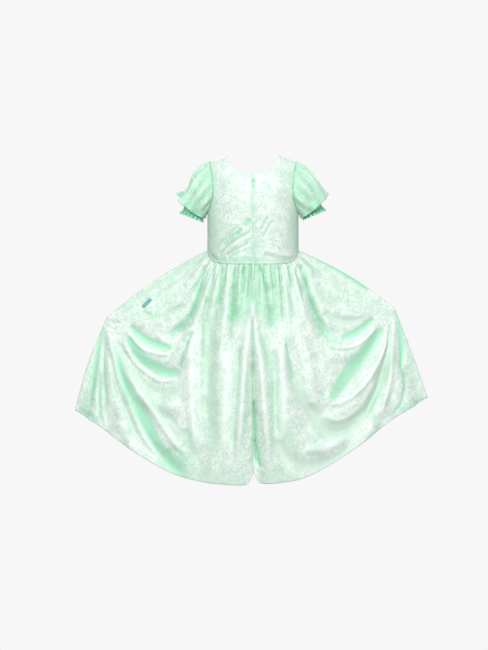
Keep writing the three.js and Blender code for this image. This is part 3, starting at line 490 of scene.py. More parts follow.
# s runs from the centre to the side, and v from the waist to the hem.
def skirtSurface(side, face, s, v, seed):
    turn = s * np.pi / 2
    back = face > 0
    top = torso["depthBack"] if back else torso["depthFront"]
    low = hem["depthBack"] if back else hem["depthFront"]
    sign, holdAt = side["sign"], side["holdAt"]
    spread = mix(torso["halfWidth"] * np.sin(turn), side["cornerX"] * s, v)
    middle = np.exp(-((side["cornerX"] * s / hem["notchWidth"]) ** 2))
    notch = hem["notchRise"] * middle * smooth((v - 0.7) / 0.3)
    fall = mix(waistSeamZ(s), hemHeight(side, s), v) + notch
    straight = np.where(v < holdAt, v / holdAt, (1 - v) / (1 - holdAt))
    tent = mix(smooth(straight), straight, s**4) * s**pullPower
    pullX = side["holdX"] - mix(torso["halfWidth"], side["cornerX"], holdAt)
    pullZ = side["holdZ"] - mix(waist["sideZ"], side["hemRow"][-1], holdAt)
    bulge = side["bulge"] * np.sin(np.pi * clamp01((v - holdAt) / (1 - holdAt))) * s**pullPower
    x = spread + tent * pullX + bulge
    z = fall + tent * pullZ + side["arch"] * np.sin(np.pi * clamp01(v / holdAt)) * s**pullPower
    depth = mix(top, low, 1 - (1 - v) ** 1.8)
    y = depth * mix(np.cos(turn), 1 - s ** hem["lensPower"], smooth(v / 0.3))
    # A few deep gathers run on below the fine ones.
    gatherDepth = (1.0 + 2.0 * smooth(v / 0.05)) * (1 - 0.85 * smooth((v - 0.06) / 0.35))
    wobble = 0.3 * np.sin(2 * np.pi * (1.3 * s + 0.2)) * (1 - smooth(v / 0.5))
    wave = np.cos(2 * np.pi * (gathersPerQuarter * s + wobble))
    edgeFade = 1 - s**8 * smooth(v / 0.1)
    gather = (gatherDepth * wave + fineGathers(s, v, seed) * (1 - 0.5 * s**6)) * edgeFade
    outX = np.sin(turn) * (1 - smooth(v / 0.25))
    outY = np.sqrt(1 - outX**2)
    across = sign * x if back else -sign * x
    foldFade = smooth(v / 0.12) * clamp01(y / 30)
    fine, tone = layCreases(skirtCreases, across, z, 1.35, 1.1)
    hang = hangWaves(s, v, seed)
    low = smooth((v - 0.2) / 0.25) * (1 - s**4)
    fine += 1.6 * hang * low
    # Painted highlight and shade follow the long waves and the gathers.
    shadeTone(tone, hang * low, 0.5, 0.3)
    shadeTone(tone, gather / 3.2, 0.9, 0.6)
    fold = mainLift(across, z) * foldFade + fine * smooth(v / 0.035) * clamp01((y + 4) / 22)
    beyond = clamp01((s - 0.72) / 0.28)
    below = smooth((v - holdAt) / (1 - holdAt))
    swing = 10 * below * np.sin(4 * np.pi * beyond) * beyond
    px = sign * (x + gather * outX)
    py = face * (seamGap / 2 + np.maximum(0, y + gather * outY + fold)) + swing
    return stack(px, py, z), tone


def waistNormal(sign, face, s):
    depth = torso["depthBack"] if face > 0 else torso["depthFront"]
    n = stack(sign * np.sin(s * np.pi / 2) / torso["halfWidth"], face * np.cos(s * np.pi / 2) / depth, 0)
    return n / np.linalg.norm(n, axis=-1, keepdims=True)


# The wall is doubled along a turned hem.
def hemWall(v, length, turned=9.0, extra=0.45):
    fromEdge = (1 - v) * length
    return clothWall + extra * (1 - smooth((fromEdge - turned + 1) / 1.2))


skirtBackShape = {"rows": 200, "columns": 164, "cut": (0.47, 0.53)}
skirtFrontShape = {"rows": 150, "columns": 136, "cut": (0.92, 0.53)}


def skirtGrid(shape, shares):
    v = (np.linspace(0, 1, shape["rows"] + 1) ** rowPower)[:, None]
    return np.broadcast_arrays(shares[None, :], v)


def buildSkirtBack(name, side, seed):
    s, v = skirtGrid(skirtBackShape, np.linspace(0, 1, skirtBackShape["columns"] + 1))
    inner, tone = skirtSurface(side, 1, s, v, seed)
    inner[0, :, 2] -= seamCrease
    slot = mix(zipSlot, seamCrease / 2, smooth((v[:, 0] - 0.066) / 0.006))
    inner[:, 0, 0] = side["sign"] * slot
    inner[:, 1, 0] = side["sign"] * np.maximum(np.abs(inner[:, 1, 0]), slot + 0.5)
    normal = gridNormals(inner, False) * side["sign"]
    normal[0] = waistNormal(side["sign"], 1, s[0])

    def keep(outer, innerFace):
        outer[:, -1, 1] = np.maximum(outer[:, -1, 1], innerFace[:, -1, 1])
        outer[:, 0, 0] = innerFace[:, 0, 0]

    width, length = skirtBackShape["cut"]
    flat = np.stack([s * width * mix(0.8, 1, v), v * length], -1)
    wall = hemWall(v, skirtLength)
    return clothShell(name, inner, wall, side["sign"], flat, tone, normal=normal, keep=keep)


def buildSkirtFront(name, seed):
    half = skirtFrontShape["columns"]
    c = np.arange(2 * half + 1)
    s, v = skirtGrid(skirtFrontShape, np.abs(1 - c / half))
    left, leftTone = skirtSurface(heldLeft, -1, s, v, seed)
    right, rightTone = skirtSurface(heldRight, -1, s, v, seed + 1)
    onLeft = (c <= half)[None, :, None]
    inner = np.where(onLeft, left, right)
    tone = np.where(onLeft, leftTone, rightTone)
    inner[:, half, 0] = 0
    inner[0, :, 2] -= seamCrease
    normal = gridNormals(inner, False)
    normal[0] = np.where(onLeft[0], waistNormal(1, -1, s[0]), waistNormal(-1, -1, s[0]))

    def keep(outer, innerFace):
        for edge in (0, -1):
            outer[:, edge, 1] = np.minimum(outer[:, edge, 1], innerFace[:, edge, 1])

    width, length = skirtFrontShape["cut"]
    flat = np.stack([(1 + c / half)[None, :] * (width / 2) + 0 * v, v * length + 1.3], -1)
    return clothShell(name, inner, hemWall(v, skirtLength), 1, flat, tone, normal=normal, keep=keep)


# Bodice on the torso. angle runs from 0 at the centre to 90 at the side seam, and drop goes down from the
# shoulder.
shoulder = {"neckHalf": 62.0, "neckZ": 4.0, "tipHalf": 100.0, "slope": 0.42}
neckline = {"backDepth": 46.0, "frontDepth": 84.0}
armhole = {"depth": 117.5, "waistX": 92.0, "waistAt": 65.0, "topOut": 8.0, "bottomOut": 14.0}
edgeEnd = {"armhole": 11 / 18, "shoulder": 13 / 18}
footAngle = {"armhole": 46.0, "shoulder": 36.0}
# Bodice creases, in the columns of the skirt's creases, with the amounts of their painted shade.
bodiceCreases = [
    ("pullOne", [(81, -231), (56, -203), (23, -183), (4, -173)], 2.8, -2.6, 0.1, 0.2, 0.65, 0.5),
    ("pullOneRidge", [(74, -234), (49, -210), (16, -190), (3, -185)], 2.6, 2.2),
    ("pullTwo", [(63, -231), (39, -215), (5, -198)], 2.6, -2.0, 0, 0.2, 0.55, 0.4),
    ("pullThree", [(72, -208), (49, -187), (30, -175)], 4, -1.6, 0.3, 0.1, 0.1, 0.5),
    ("spotHigh", [(23, -162), (14, -154), (7, -147)], 6, -2.4, 0.9, 0, 0.15),
    ("spotLow", [(39, -185), (33, -175), (26, -167)], 5.5, -2.0, 0.9, 0, 0.2),
    ("rightPull", [(-34, -141), (-26, -157), (-18, -173)], 4, -2.2, 0.6, 0, 0.1),
    ("rightPullTwo", [(-46, -150), (-34, -168), (-25, -189)], 3.5, -1.6, 0.2, 0.3, 0.1),
    ("rightSweep", [(-22, -217), (-62, -227), (-91, -233)], 4, 1.8, 0, 0, 0),
    ("rightSweepShade", [(-25, -226), (-62, -237), (-96, -242)], 4, -1.4, 0, 0.4, 0, 0.4),
    ("leftSeamShade", [(104, -240), (49, -242), (-2, -242)], 8, -0.8, 0.42, 0, 0, 0.6),
    ("rightSeamShade", [(2, -242), (-53, -242), (-100, -238)], 7, -0.6, 0.3, 0, 0, 0.5),
    ("leftCorner", [(109, -214), (101, -230), (84, -240)], 7, -2.4, 0.45, 0, 0.15, 0.9),
    ("rightCorner", [(-119, -217), (-111, -233), (-97, -240)], 6, -2.0, 0.2, 0.1, 0.05, 0.7),
    ("pullFour", [(88, -214), (66, -190), (47, -172), (32, -163)], 2.8, -1.9, 0, 0.25, 0.4, 0.3),
    ("pullFive", [(60, -238), (40, -226), (6, -214)], 2.4, -1.6, 0, 0.15, 0.4),
    ("leftSideWash", [(98, -135), (96, -185), (94, -225)], 16, 0, 0, 0.15, 0, 0.6),
    ("rightSideWash", [(-98, -140), (-97, -190), (-98, -225)], 13, 0, 0, 0.2, 0, 0.45),
]


def torsoPoint(face, angle, drop):
    a = np.radians(angle)
    x = torso["halfWidth"] * np.sin(a)
    depth = torso["depthBack"] if face > 0 else torso["depthFront"]
    dome = np.sqrt(1 - (1 - clamp01(drop / torso["domeHeight"])) ** 2)
    line = shoulder["neckZ"] - shoulder["slope"] * np.maximum(0, np.abs(x) - shoulder["neckHalf"])
    return stack(x, face * (seamGap / 2 + depth * dome * np.cos(a)), line - drop)


def torsoNormal(face, angle, drop):
    a, d = np.minimum(angle, 89.4), np.maximum(drop, 0.6)
    along = torsoPoint(face, a + 0.5, d) - torsoPoint(face, a - 0.5, d)
    down = torsoPoint(face, a, d + 0.5) - torsoPoint(face, a, d - 0.5)
    n = np.cross(along, down) * face
    return n / np.linalg.norm(n, axis=-1, keepdims=True)


def armholeEdge(t):
    drop = armhole["depth"] * (1 - np.cos(np.pi * t)) / 2
    above = drop < armhole["waistAt"]
    reach = np.where(above, armhole["waistAt"], armhole["depth"] - armhole["waistAt"])
    out = np.where(above, armhole["topOut"], armhole["bottomOut"])
    x = armhole["waistX"] + out * ((drop - armhole["waistAt"]) / reach) ** 2
    return np.degrees(np.arcsin(np.minimum(1, x / torso["halfWidth"]))), drop


# Grid lines run from the waist seam to the upper edge: up to the armhole, the shoulder and then the neckline.
def bodiceSpot(face, e, rise):
    armEnd, shoulderEnd = edgeEnd["armhole"], edgeEnd["shoulder"]
    onArm, onShoulder = e <= armEnd + 1e-9, e <= shoulderEnd + 1e-9
    armAngle, armDrop = armholeEdge(clamp01(1 - e / armEnd))
    share = clamp01((e - armEnd) / (shoulderEnd - armEnd))
    shoulderX = mix(shoulder["tipHalf"], shoulder["neckHalf"], share)
    shoulderAngle = np.degrees(np.arcsin(shoulderX / torso["halfWidth"]))
    turn = clamp01((e - shoulderEnd) / (1 - shoulderEnd)) * np.pi / 2
    depth = neckline["backDepth"] if face > 0 else neckline["frontDepth"]
    neckAngle = np.degrees(np.arcsin(shoulder["neckHalf"] * np.cos(turn) / torso["halfWidth"]))
    topAngle = np.where(onArm, armAngle, np.where(onShoulder, shoulderAngle, neckAngle))
    topDrop = np.where(onArm, armDrop, np.where(onShoulder, 0, depth * np.sin(turn)))
    under = mix(90, footAngle["armhole"], e / armEnd)
    under = np.where(onArm, under, mix(footAngle["armhole"], footAngle["shoulder"], share))
    under = np.where(onShoulder, under, mix(footAngle["shoulder"], 0, turn * 2 / np.pi))
    footDrop = torsoPoint(face, under, 0)[..., 2] - waistSeamZ(under / 90) - seamCrease
    t = 1 - (1 - rise) ** 1.45
    return mix(under, topAngle, t), mix(footDrop, topDrop, t)


placketHalf = 5.0
bodiceShape = {"rows": 96, "columns": 90, "backCut": (0.175, 0.27), "frontCut": (0.36, 0.27)}


# Points, outward normals, cut coordinates and tone of one half of the bodice.
def bodiceHalf(face, sign, e, rise):
    angle, drop = bodiceSpot(face, e, rise)
    points, normal = torsoPoint(face, angle, drop), torsoNormal(face, angle, drop)
    normal[-1, :, 2] = 0
    points[..., 0] *= sign
    normal[..., 0] *= sign
    x, z = points[..., 0], points[..., 2]
    lift, tone = layCreases(bodiceCreases, x * face, z, 1.8, 1.5)
    # The cloth ripples a little along the waist stitching, and the creases and ripple fade out at the side
    # seam.
    seam = np.exp(-rise * 36)
    ripple = 0.5 * np.sin(0.42 * x + 0.9 * np.sin(0.11 * x)) * np.exp(-rise * 18)
    inside = smooth(rise / 0.02) * smooth((1 - rise) / 0.04) * smooth(np.abs(x) / 8)
    free = smooth((90 - angle) / 10)
    points += normal * ((lift * inside + ripple * smooth(rise / 0.02)) * free)[..., None]
    # Painted shade: grey green on the sides, mint just above the waist stitching where the cloth draws in,
    # deep shade along the zip edges of the back and greener shade high on the sides towards the armholes.
    sides = smooth((np.abs(x) - 62) / 40)
    raiseTone(tone, greyShadeTone, 0.55 * sides)
    raiseTone(tone, mintShadeTone, 0.15 * seam)
    if face > 0:
        placket = np.exp(-(((np.abs(x) - placketHalf) / 1.9) ** 2))
        raiseTone(tone, deepShadeTone, 0.6 * placket)
    raiseTone(tone, greenShadeTone, 0.6 * smooth((np.abs(angle) - 62) / 25) * smooth((110 - drop) / 60))
    arc = np.radians(angle) * 0.094
    flat = np.stack([arc * sign + 0.2, 0.3 + drop * mm], -1)
    normal /= np.linalg.norm(normal, axis=-1, keepdims=True)
    return points, normal, flat, tone


def bodiceGrid(shares):
    rise = 1 - np.arange(bodiceShape["rows"] + 1) / bodiceShape["rows"]
    return np.broadcast_arrays(shares[None, :], rise[:, None])


def buildBodiceBack(name, sign):
    e, rise = bodiceGrid(np.arange(bodiceShape["columns"] + 1) / bodiceShape["columns"])
    inner, normal, flat, tone = bodiceHalf(1, sign, e, rise)
    inner[..., 0] = sign * np.maximum(zipSlot, sign * inner[..., 0])

    def keep(outer, innerFace):
        outer[..., 1] = np.maximum(outer[..., 1], seamGap / 2)
        outer[:, -1, 0] = innerFace[:, -1, 0]

    wall = clothWall + 0.35 * np.exp(-(((1 - e) * 105 / 6) ** 4))
    return clothShell(name, inner, wall, -sign, flat, tone, normal=normal, keep=keep)


def buildBodiceFront(name):
    half = bodiceShape["columns"]
    c = np.arange(2 * half + 1)
    e, rise = bodiceGrid(1 - np.abs(1 - c / half))
    parts = [bodiceHalf(-1, sign, e, rise) for sign in (-1, 1)]
    first = (c <= half)[None, :, None]
    inner, normal, flat, tone = [np.where(first, a, b) for a, b in zip(*parts)]

    def keep(outer, innerFace):
        outer[..., 1] = np.minimum(outer[..., 1], -seamGap / 2)

    return clothShell(name, inner, clothWall, -1, flat + (0.5, 0), tone, normal=normal, keep=keep)


# Sleeves. turn runs from 0 at the shoulder tip, over the back, to the side seam at 0.5 and up the front.
armholeMiddle = np.array([100.0, 0.0, -72.0])
layGap = 0.12
sleeveHem = {"x": 143.9, "z": -116.3, "lean": 40.5, "halfAlong": 41.0, "halfAcross": 43.0, "waveDepth": 4.5}
hemSag = {1: 9.0, -1: 4.5}
sleeveShape = {"rows": 48, "columns": 240, "waves": 8, "cut": (0.3, 0.09)}
sleeveTip = {1: 9, -1: 4.5}
hemLobe = {1: 7.5, -1: 1.5}
tipDent = {1: 10.5, -1: 1.5}
# Soft folds from the sleeve head, each at a turn with its width, depth and smooth mint, painted shade in its
# trough.
sleeveFolds = [
    (0.035, 0.010, 1.6, 0.0),
    (0.075, 0.016, -2.2, 0.35),
    (0.120, 0.012, 1.8, 0.0),
    (0.160, 0.018, -2.0, 0.25),
    (0.215, 0.014, 1.5, 0.0),
    (0.262, 0.020, -2.4, 0.4),
    (0.310, 0.014, 1.4, 0.0),
    (0.362, 0.016, -1.6, 0.3),
    (0.640, 0.018, -1.8, 0.3),
    (0.700, 0.014, 1.5, 0.0),
    (0.755, 0.020, -2.2, 0.35),
    (0.815, 0.014, 1.6, 0.0),
    (0.870, 0.017, -2.0, 0.3),
    (0.930, 0.013, 1.6, 0.0),
    (0.975, 0.012, -1.6, 0.3),
]


def armholeRing(turn, inset):
    back = turn <= 0.5
    t = np.where(back, 2 * turn, 2 - 2 * turn)
    angle, drop = armholeEdge(t)
    ring = np.zeros((*turn.shape, 3))
    for face, chosen in ((1, back), (-1, ~back)):
        q = torsoPoint(face, angle, drop) + torsoNormal(face, angle, drop) * (1.6 + layGap)
        ring = np.where(chosen[..., None], q, ring)
    inwards = armholeMiddle - ring
    inwards[..., 0] = 0
    return ring + inwards / np.linalg.norm(inwards, axis=-1, keepdims=True) * np.asarray(inset)[..., None]


def leaningRing(x, z, lean, along, across, turn):
    a, tip = 2 * np.pi * turn, math.radians(lean)
    out = along * np.cos(a)
    return stack(x + out * math.cos(tip), across * np.sin(a), z + out * math.sin(tip))


def towardsHem(lean):
    return np.array([math.sin(math.radians(lean)), 0, -math.cos(math.radians(lean))])


def sleeveSurface(sign, turn, k):
    a = 2 * np.pi * turn
    lifted, aside = (1 + np.cos(a)) / 2, np.abs(np.sin(a))
    depth = mix(sleeveHem["waveDepth"] * (0.3 + 0.7 * aside), sleeveTip[sign], lifted**6)
    flare = depth * np.cos(sleeveShape["waves"] * a + 0.35 * np.sin(2 * a)) * k**3
    end = leaningRing(
        sleeveHem["x"], sleeveHem["z"], sleeveHem["lean"],
        sleeveHem["halfAlong"], sleeveHem["halfAcross"], turn,
    )
    end += towardsHem(sleeveHem["lean"]) * (hemSag[sign] * aside**2)[..., None]
    # A lobe of the loose hem hangs lower near the tip.
    low = np.where(turn < 0.5, turn, 1 - turn)
    end += np.array([0.15, 0, -1]) * (hemLobe[sign] * np.exp(-(((low - 0.13) / 0.05) ** 2)))[..., None]
    radial = leaningRing(0, 0, sleeveHem["lean"], 1, 1, turn)
    outwards = radial.copy()
    outwards[..., [0, 2]] = np.maximum(0, radial[..., [0, 2]])
    puff = (6 * lifted + 10 * aside) * np.sin(np.pi * k**0.6)
    p = mix(armholeRing(turn, np.zeros(turn.shape)), end, k[..., None])
    lift = np.zeros(turn.shape)
    tone = np.zeros((*turn.shape, 5))
    # The whole sleeve takes some painted grey green and greener shade.
    tone[..., greyShadeTone] = 0.1
    tone[..., greenShadeTone] = 0.75
    # Each fold's trough takes painted mint and greener shade, and each ridge a painted highlight.
    for at, width, foldDepth, mint in sleeveFolds:
        near = (turn - at + 0.5) % 1 - 0.5 - 0.02 * sign * k
        body = np.sin(np.pi * clamp01(k * 1.06) ** 0.8)
        lift += 2.1 * foldDepth * body * np.exp(-((near / width) ** 2))
        raiseTone(tone, mintShadeTone, 1.3 * mint * body * np.exp(-((near / (0.75 * width)) ** 4)))
        raiseTone(tone, greenShadeTone, 2.5 * mint * body * np.exp(-((near / (1.5 * width)) ** 2)))
        if foldDepth > 0:
            raiseTone(tone, highlightTone, 0.9 * body * np.exp(-((near / width) ** 2)))
    headGather = 0.7 * np.cos(2 * np.pi * 46 * turn + 2 * np.sin(5 * a)) * smooth(k / 0.04)
    headGather = headGather * (1 - smooth(k / 0.35)) * lifted
    dent = tipDent[sign] * lifted**8 * np.exp(-(((k - 0.76) / 0.18) ** 2))
    p += outwards * puff[..., None] + radial * (flare + lift + headGather - dent)[..., None]
    p[..., 0] += 2.4 * (1 - lifted) * clamp01(k / 0.15) * (1 - 0.75 * k)
    # Painted strip of mint shade along the hem, where the painted highlight is taken out.
    reach = 0.12 * smooth((low - 0.15) / 0.12) * (1 + 0.35 * np.sin(9 * a + sign))
    strip = smooth((k - 0.88 + reach) / 0.1) * smooth((low - 0.1) / 0.1) * (1 - smooth((low - 0.34) / 0.1))
    raiseTone(tone, mintShadeTone, 0.85 * strip)
    tone[..., highlightTone] *= 1 - strip
    # Painted shade near the sleeve head, and painted deep shade over the whole sleeve, stronger at the head.
    head = 1 - smooth(k / 0.18)
    raiseTone(tone, greenShadeTone, head)
    raiseTone(tone, mintShadeTone, 0.5 * head)
    tone[..., deepShadeTone] = np.maximum(0.14, 0.35 * (1 - smooth(k / 0.06)))
    # Painted deep shade in the hollow at the tip of the left sleeve's hem, without highlight.
    if sign > 0:
        hollow = np.exp(-(((turn - 0.045) / 0.032) ** 4) - ((k - 0.93) / 0.08) ** 4)
        raiseTone(tone, deepShadeTone, hollow)
        tone[..., highlightTone] *= 1 - hollow
    return p, tone


def armholeOutwards(turn):
    way = armholeRing(turn, np.zeros(turn.shape)) - armholeMiddle
    way[..., 0] = 0
    return way / np.linalg.norm(way, axis=-1, keepdims=True)


# The ring starts at the underarm, where the grid closes.
def ringGrid(shape, power):
    turn = (np.arange(shape["columns"]) / shape["columns"] + 0.5) % 1
    k = np.linspace(0, 1, shape["rows"] + 1) ** power
    return np.broadcast_arrays(turn[None, :], k[:, None])


def ringFlat(shape, k, start):
    u = np.linspace(0, shape["cut"][0], shape["columns"] + 1)
    return np.stack(np.broadcast_arrays(u[None, :], start + k[:, :1] * shape["cut"][1]), -1)


def buildSleeve(name, sign, start):
    turn, k = ringGrid(sleeveShape, 0.95)
    inner, tone = sleeveSurface(sign, turn, k)
    normal = -gridNormals(inner, True)
    normal[0] = armholeOutwards(turn[0])
    inner[..., 0] *= sign
    normal[..., 0] *= sign
    wall = clothWall + 0.4 * smooth((k - 0.93) / 0.02)
    flat = ringFlat(sleeveShape, k, start)
    return clothShell(name, inner, wall, -sign, flat, tone, ring=True, normal=normal)


cuff = {"x": 144.5, "neckRadius": 24.5, "edgeRadius": 27.2, "ruffle": 9.5, "gathers": 16}
cuffHang = {1: {"z": -141.5, "lean": 21.0}, -1: {"z": -135.5, "lean": 23.0}}
undersleeveShape = {"rows": 54, "columns": 192, "cut": (0.27, 0.07), "neckAt": 0.82}
satinWall = 0.9


# Gathered tube down to the elastic, then a small ruffle with a rolled, scalloped edge.
def undersleeveSurface(sign, turn, k):
    neckAt = undersleeveShape["neckAt"]
    lean = cuffHang[sign]["lean"]
    down = towardsHem(lean)
    neckX, neckZ = cuff["x"] - cuff["ruffle"] * down[0], cuffHang[sign]["z"] - cuff["ruffle"] * down[2]
    radial = leaningRing(0, 0, lean, 1, 1, turn)
    a = 2 * np.pi * turn
    uneven = 0.3 * np.sin(3 * a + 1) + 0.22 * np.sin(5 * a)
    gather = np.cos(cuff["gathers"] * a + uneven)
    small = np.cos(37 * a + 1.7 * np.sin(4 * a))
    body = clamp01(k / neckAt)
    start = armholeRing(turn, np.full(turn.shape, 1.0 + layGap))
    neck = leaningRing(neckX, neckZ, lean, cuff["neckRadius"], cuff["neckRadius"], turn)
    p = mix(start, neck, body[..., None])
    lifted = (1 + np.cos(a)) / 2
    p[..., 0] += 1.2 * 2.4 * (1 - lifted) * np.sin(np.pi * body)
    pinch = 0.5 * gather * body**3 + 0.25 * small * smooth((body - 0.7) / 0.3)
    beyond = clamp01((k - neckAt) / (1 - neckAt))
    flare = (cuff["edgeRadius"] - cuff["neckRadius"]) * beyond**0.8
    flare += (1.9 * gather + 0.45 * small) * beyond
    scallop = 0.9 * gather * smooth((beyond - 0.5) / 0.5)
    channel = 0.45 * np.exp(-(((k - neckAt) / 0.035) ** 2))
    p += radial * (pinch + flare - channel)[..., None]
    p += down * (cuff["ruffle"] * beyond + scallop)[..., None]
    # Painted deep shade between the gathers near the ruffle.
    tone = np.zeros((*turn.shape, 5))
    tone[..., deepShadeTone] = 0.45 * (1 - gather) * np.exp(-(((k - 0.9) / 0.12) ** 2))
    return p, tone


def buildUndersleeve(name, sign, start):
    turn, k = ringGrid(undersleeveShape, 1)
    inner, tone = undersleeveSurface(sign, turn, k)
    normal = -gridNormals(inner, True)
    normal[0] = armholeOutwards(turn[0])
    inner[..., 0] *= sign
    normal[..., 0] *= sign
    wall = satinWall + 0.35 * smooth((k - 0.985) / 0.01)
    flat = ringFlat(undersleeveShape, k, start)
    return clothShell(name, inner, wall, -sign, flat, tone, ring=True, normal=normal)


# Materials
def addNode(tree, kind, **values):
    made = tree.nodes.new(kind)
    for key, value in values.items():
        if hasattr(made, key):
            setattr(made, key, value)
        else:
            made.inputs[key.replace("_", " ")].default_value = value
    return made


def newGroup(name, inputs, outputs):
    tree = bpy.data.node_groups.new(name, "ShaderNodeTree")
    for label, kind, value in inputs:
        socket = tree.interface.new_socket(label, in_out="INPUT", socket_type=kind)
        if value is not None:
            socket.default_value = value
    for label, kind in outputs:
        tree.interface.new_socket(label, in_out="OUTPUT", socket_type=kind)
    return tree, tree.nodes.new("NodeGroupInput"), tree.nodes.new("NodeGroupOutput")


def mathNode(tree, operation, a, b=None, clamp=False):
    made = tree.nodes.new("ShaderNodeMath")
    made.operation = operation
    made.use_clamp = clamp
    for socket, value in zip(made.inputs, (a, b)):
        if value is None:
            continue
        if isinstance(value, (int, float)):
            socket.default_value = value
        else:
            tree.links.new(value, socket)
    return made.outputs[0]


def mixColour(tree, factor, a, b, blend="MIX"):
    made = tree.nodes.new("ShaderNodeMix")
    made.data_type = "RGBA"
    made.blend_type = blend
    for socket, value in ((made.inputs[0], factor), (made.inputs[6], a), (made.inputs[7], b)):
        if isinstance(value, (int, float)):
            socket.default_value = value
        elif isinstance(value, tuple):
            socket.default_value = (*value, 1)
        else:
            tree.links.new(value, socket)
    return made.outputs[2]


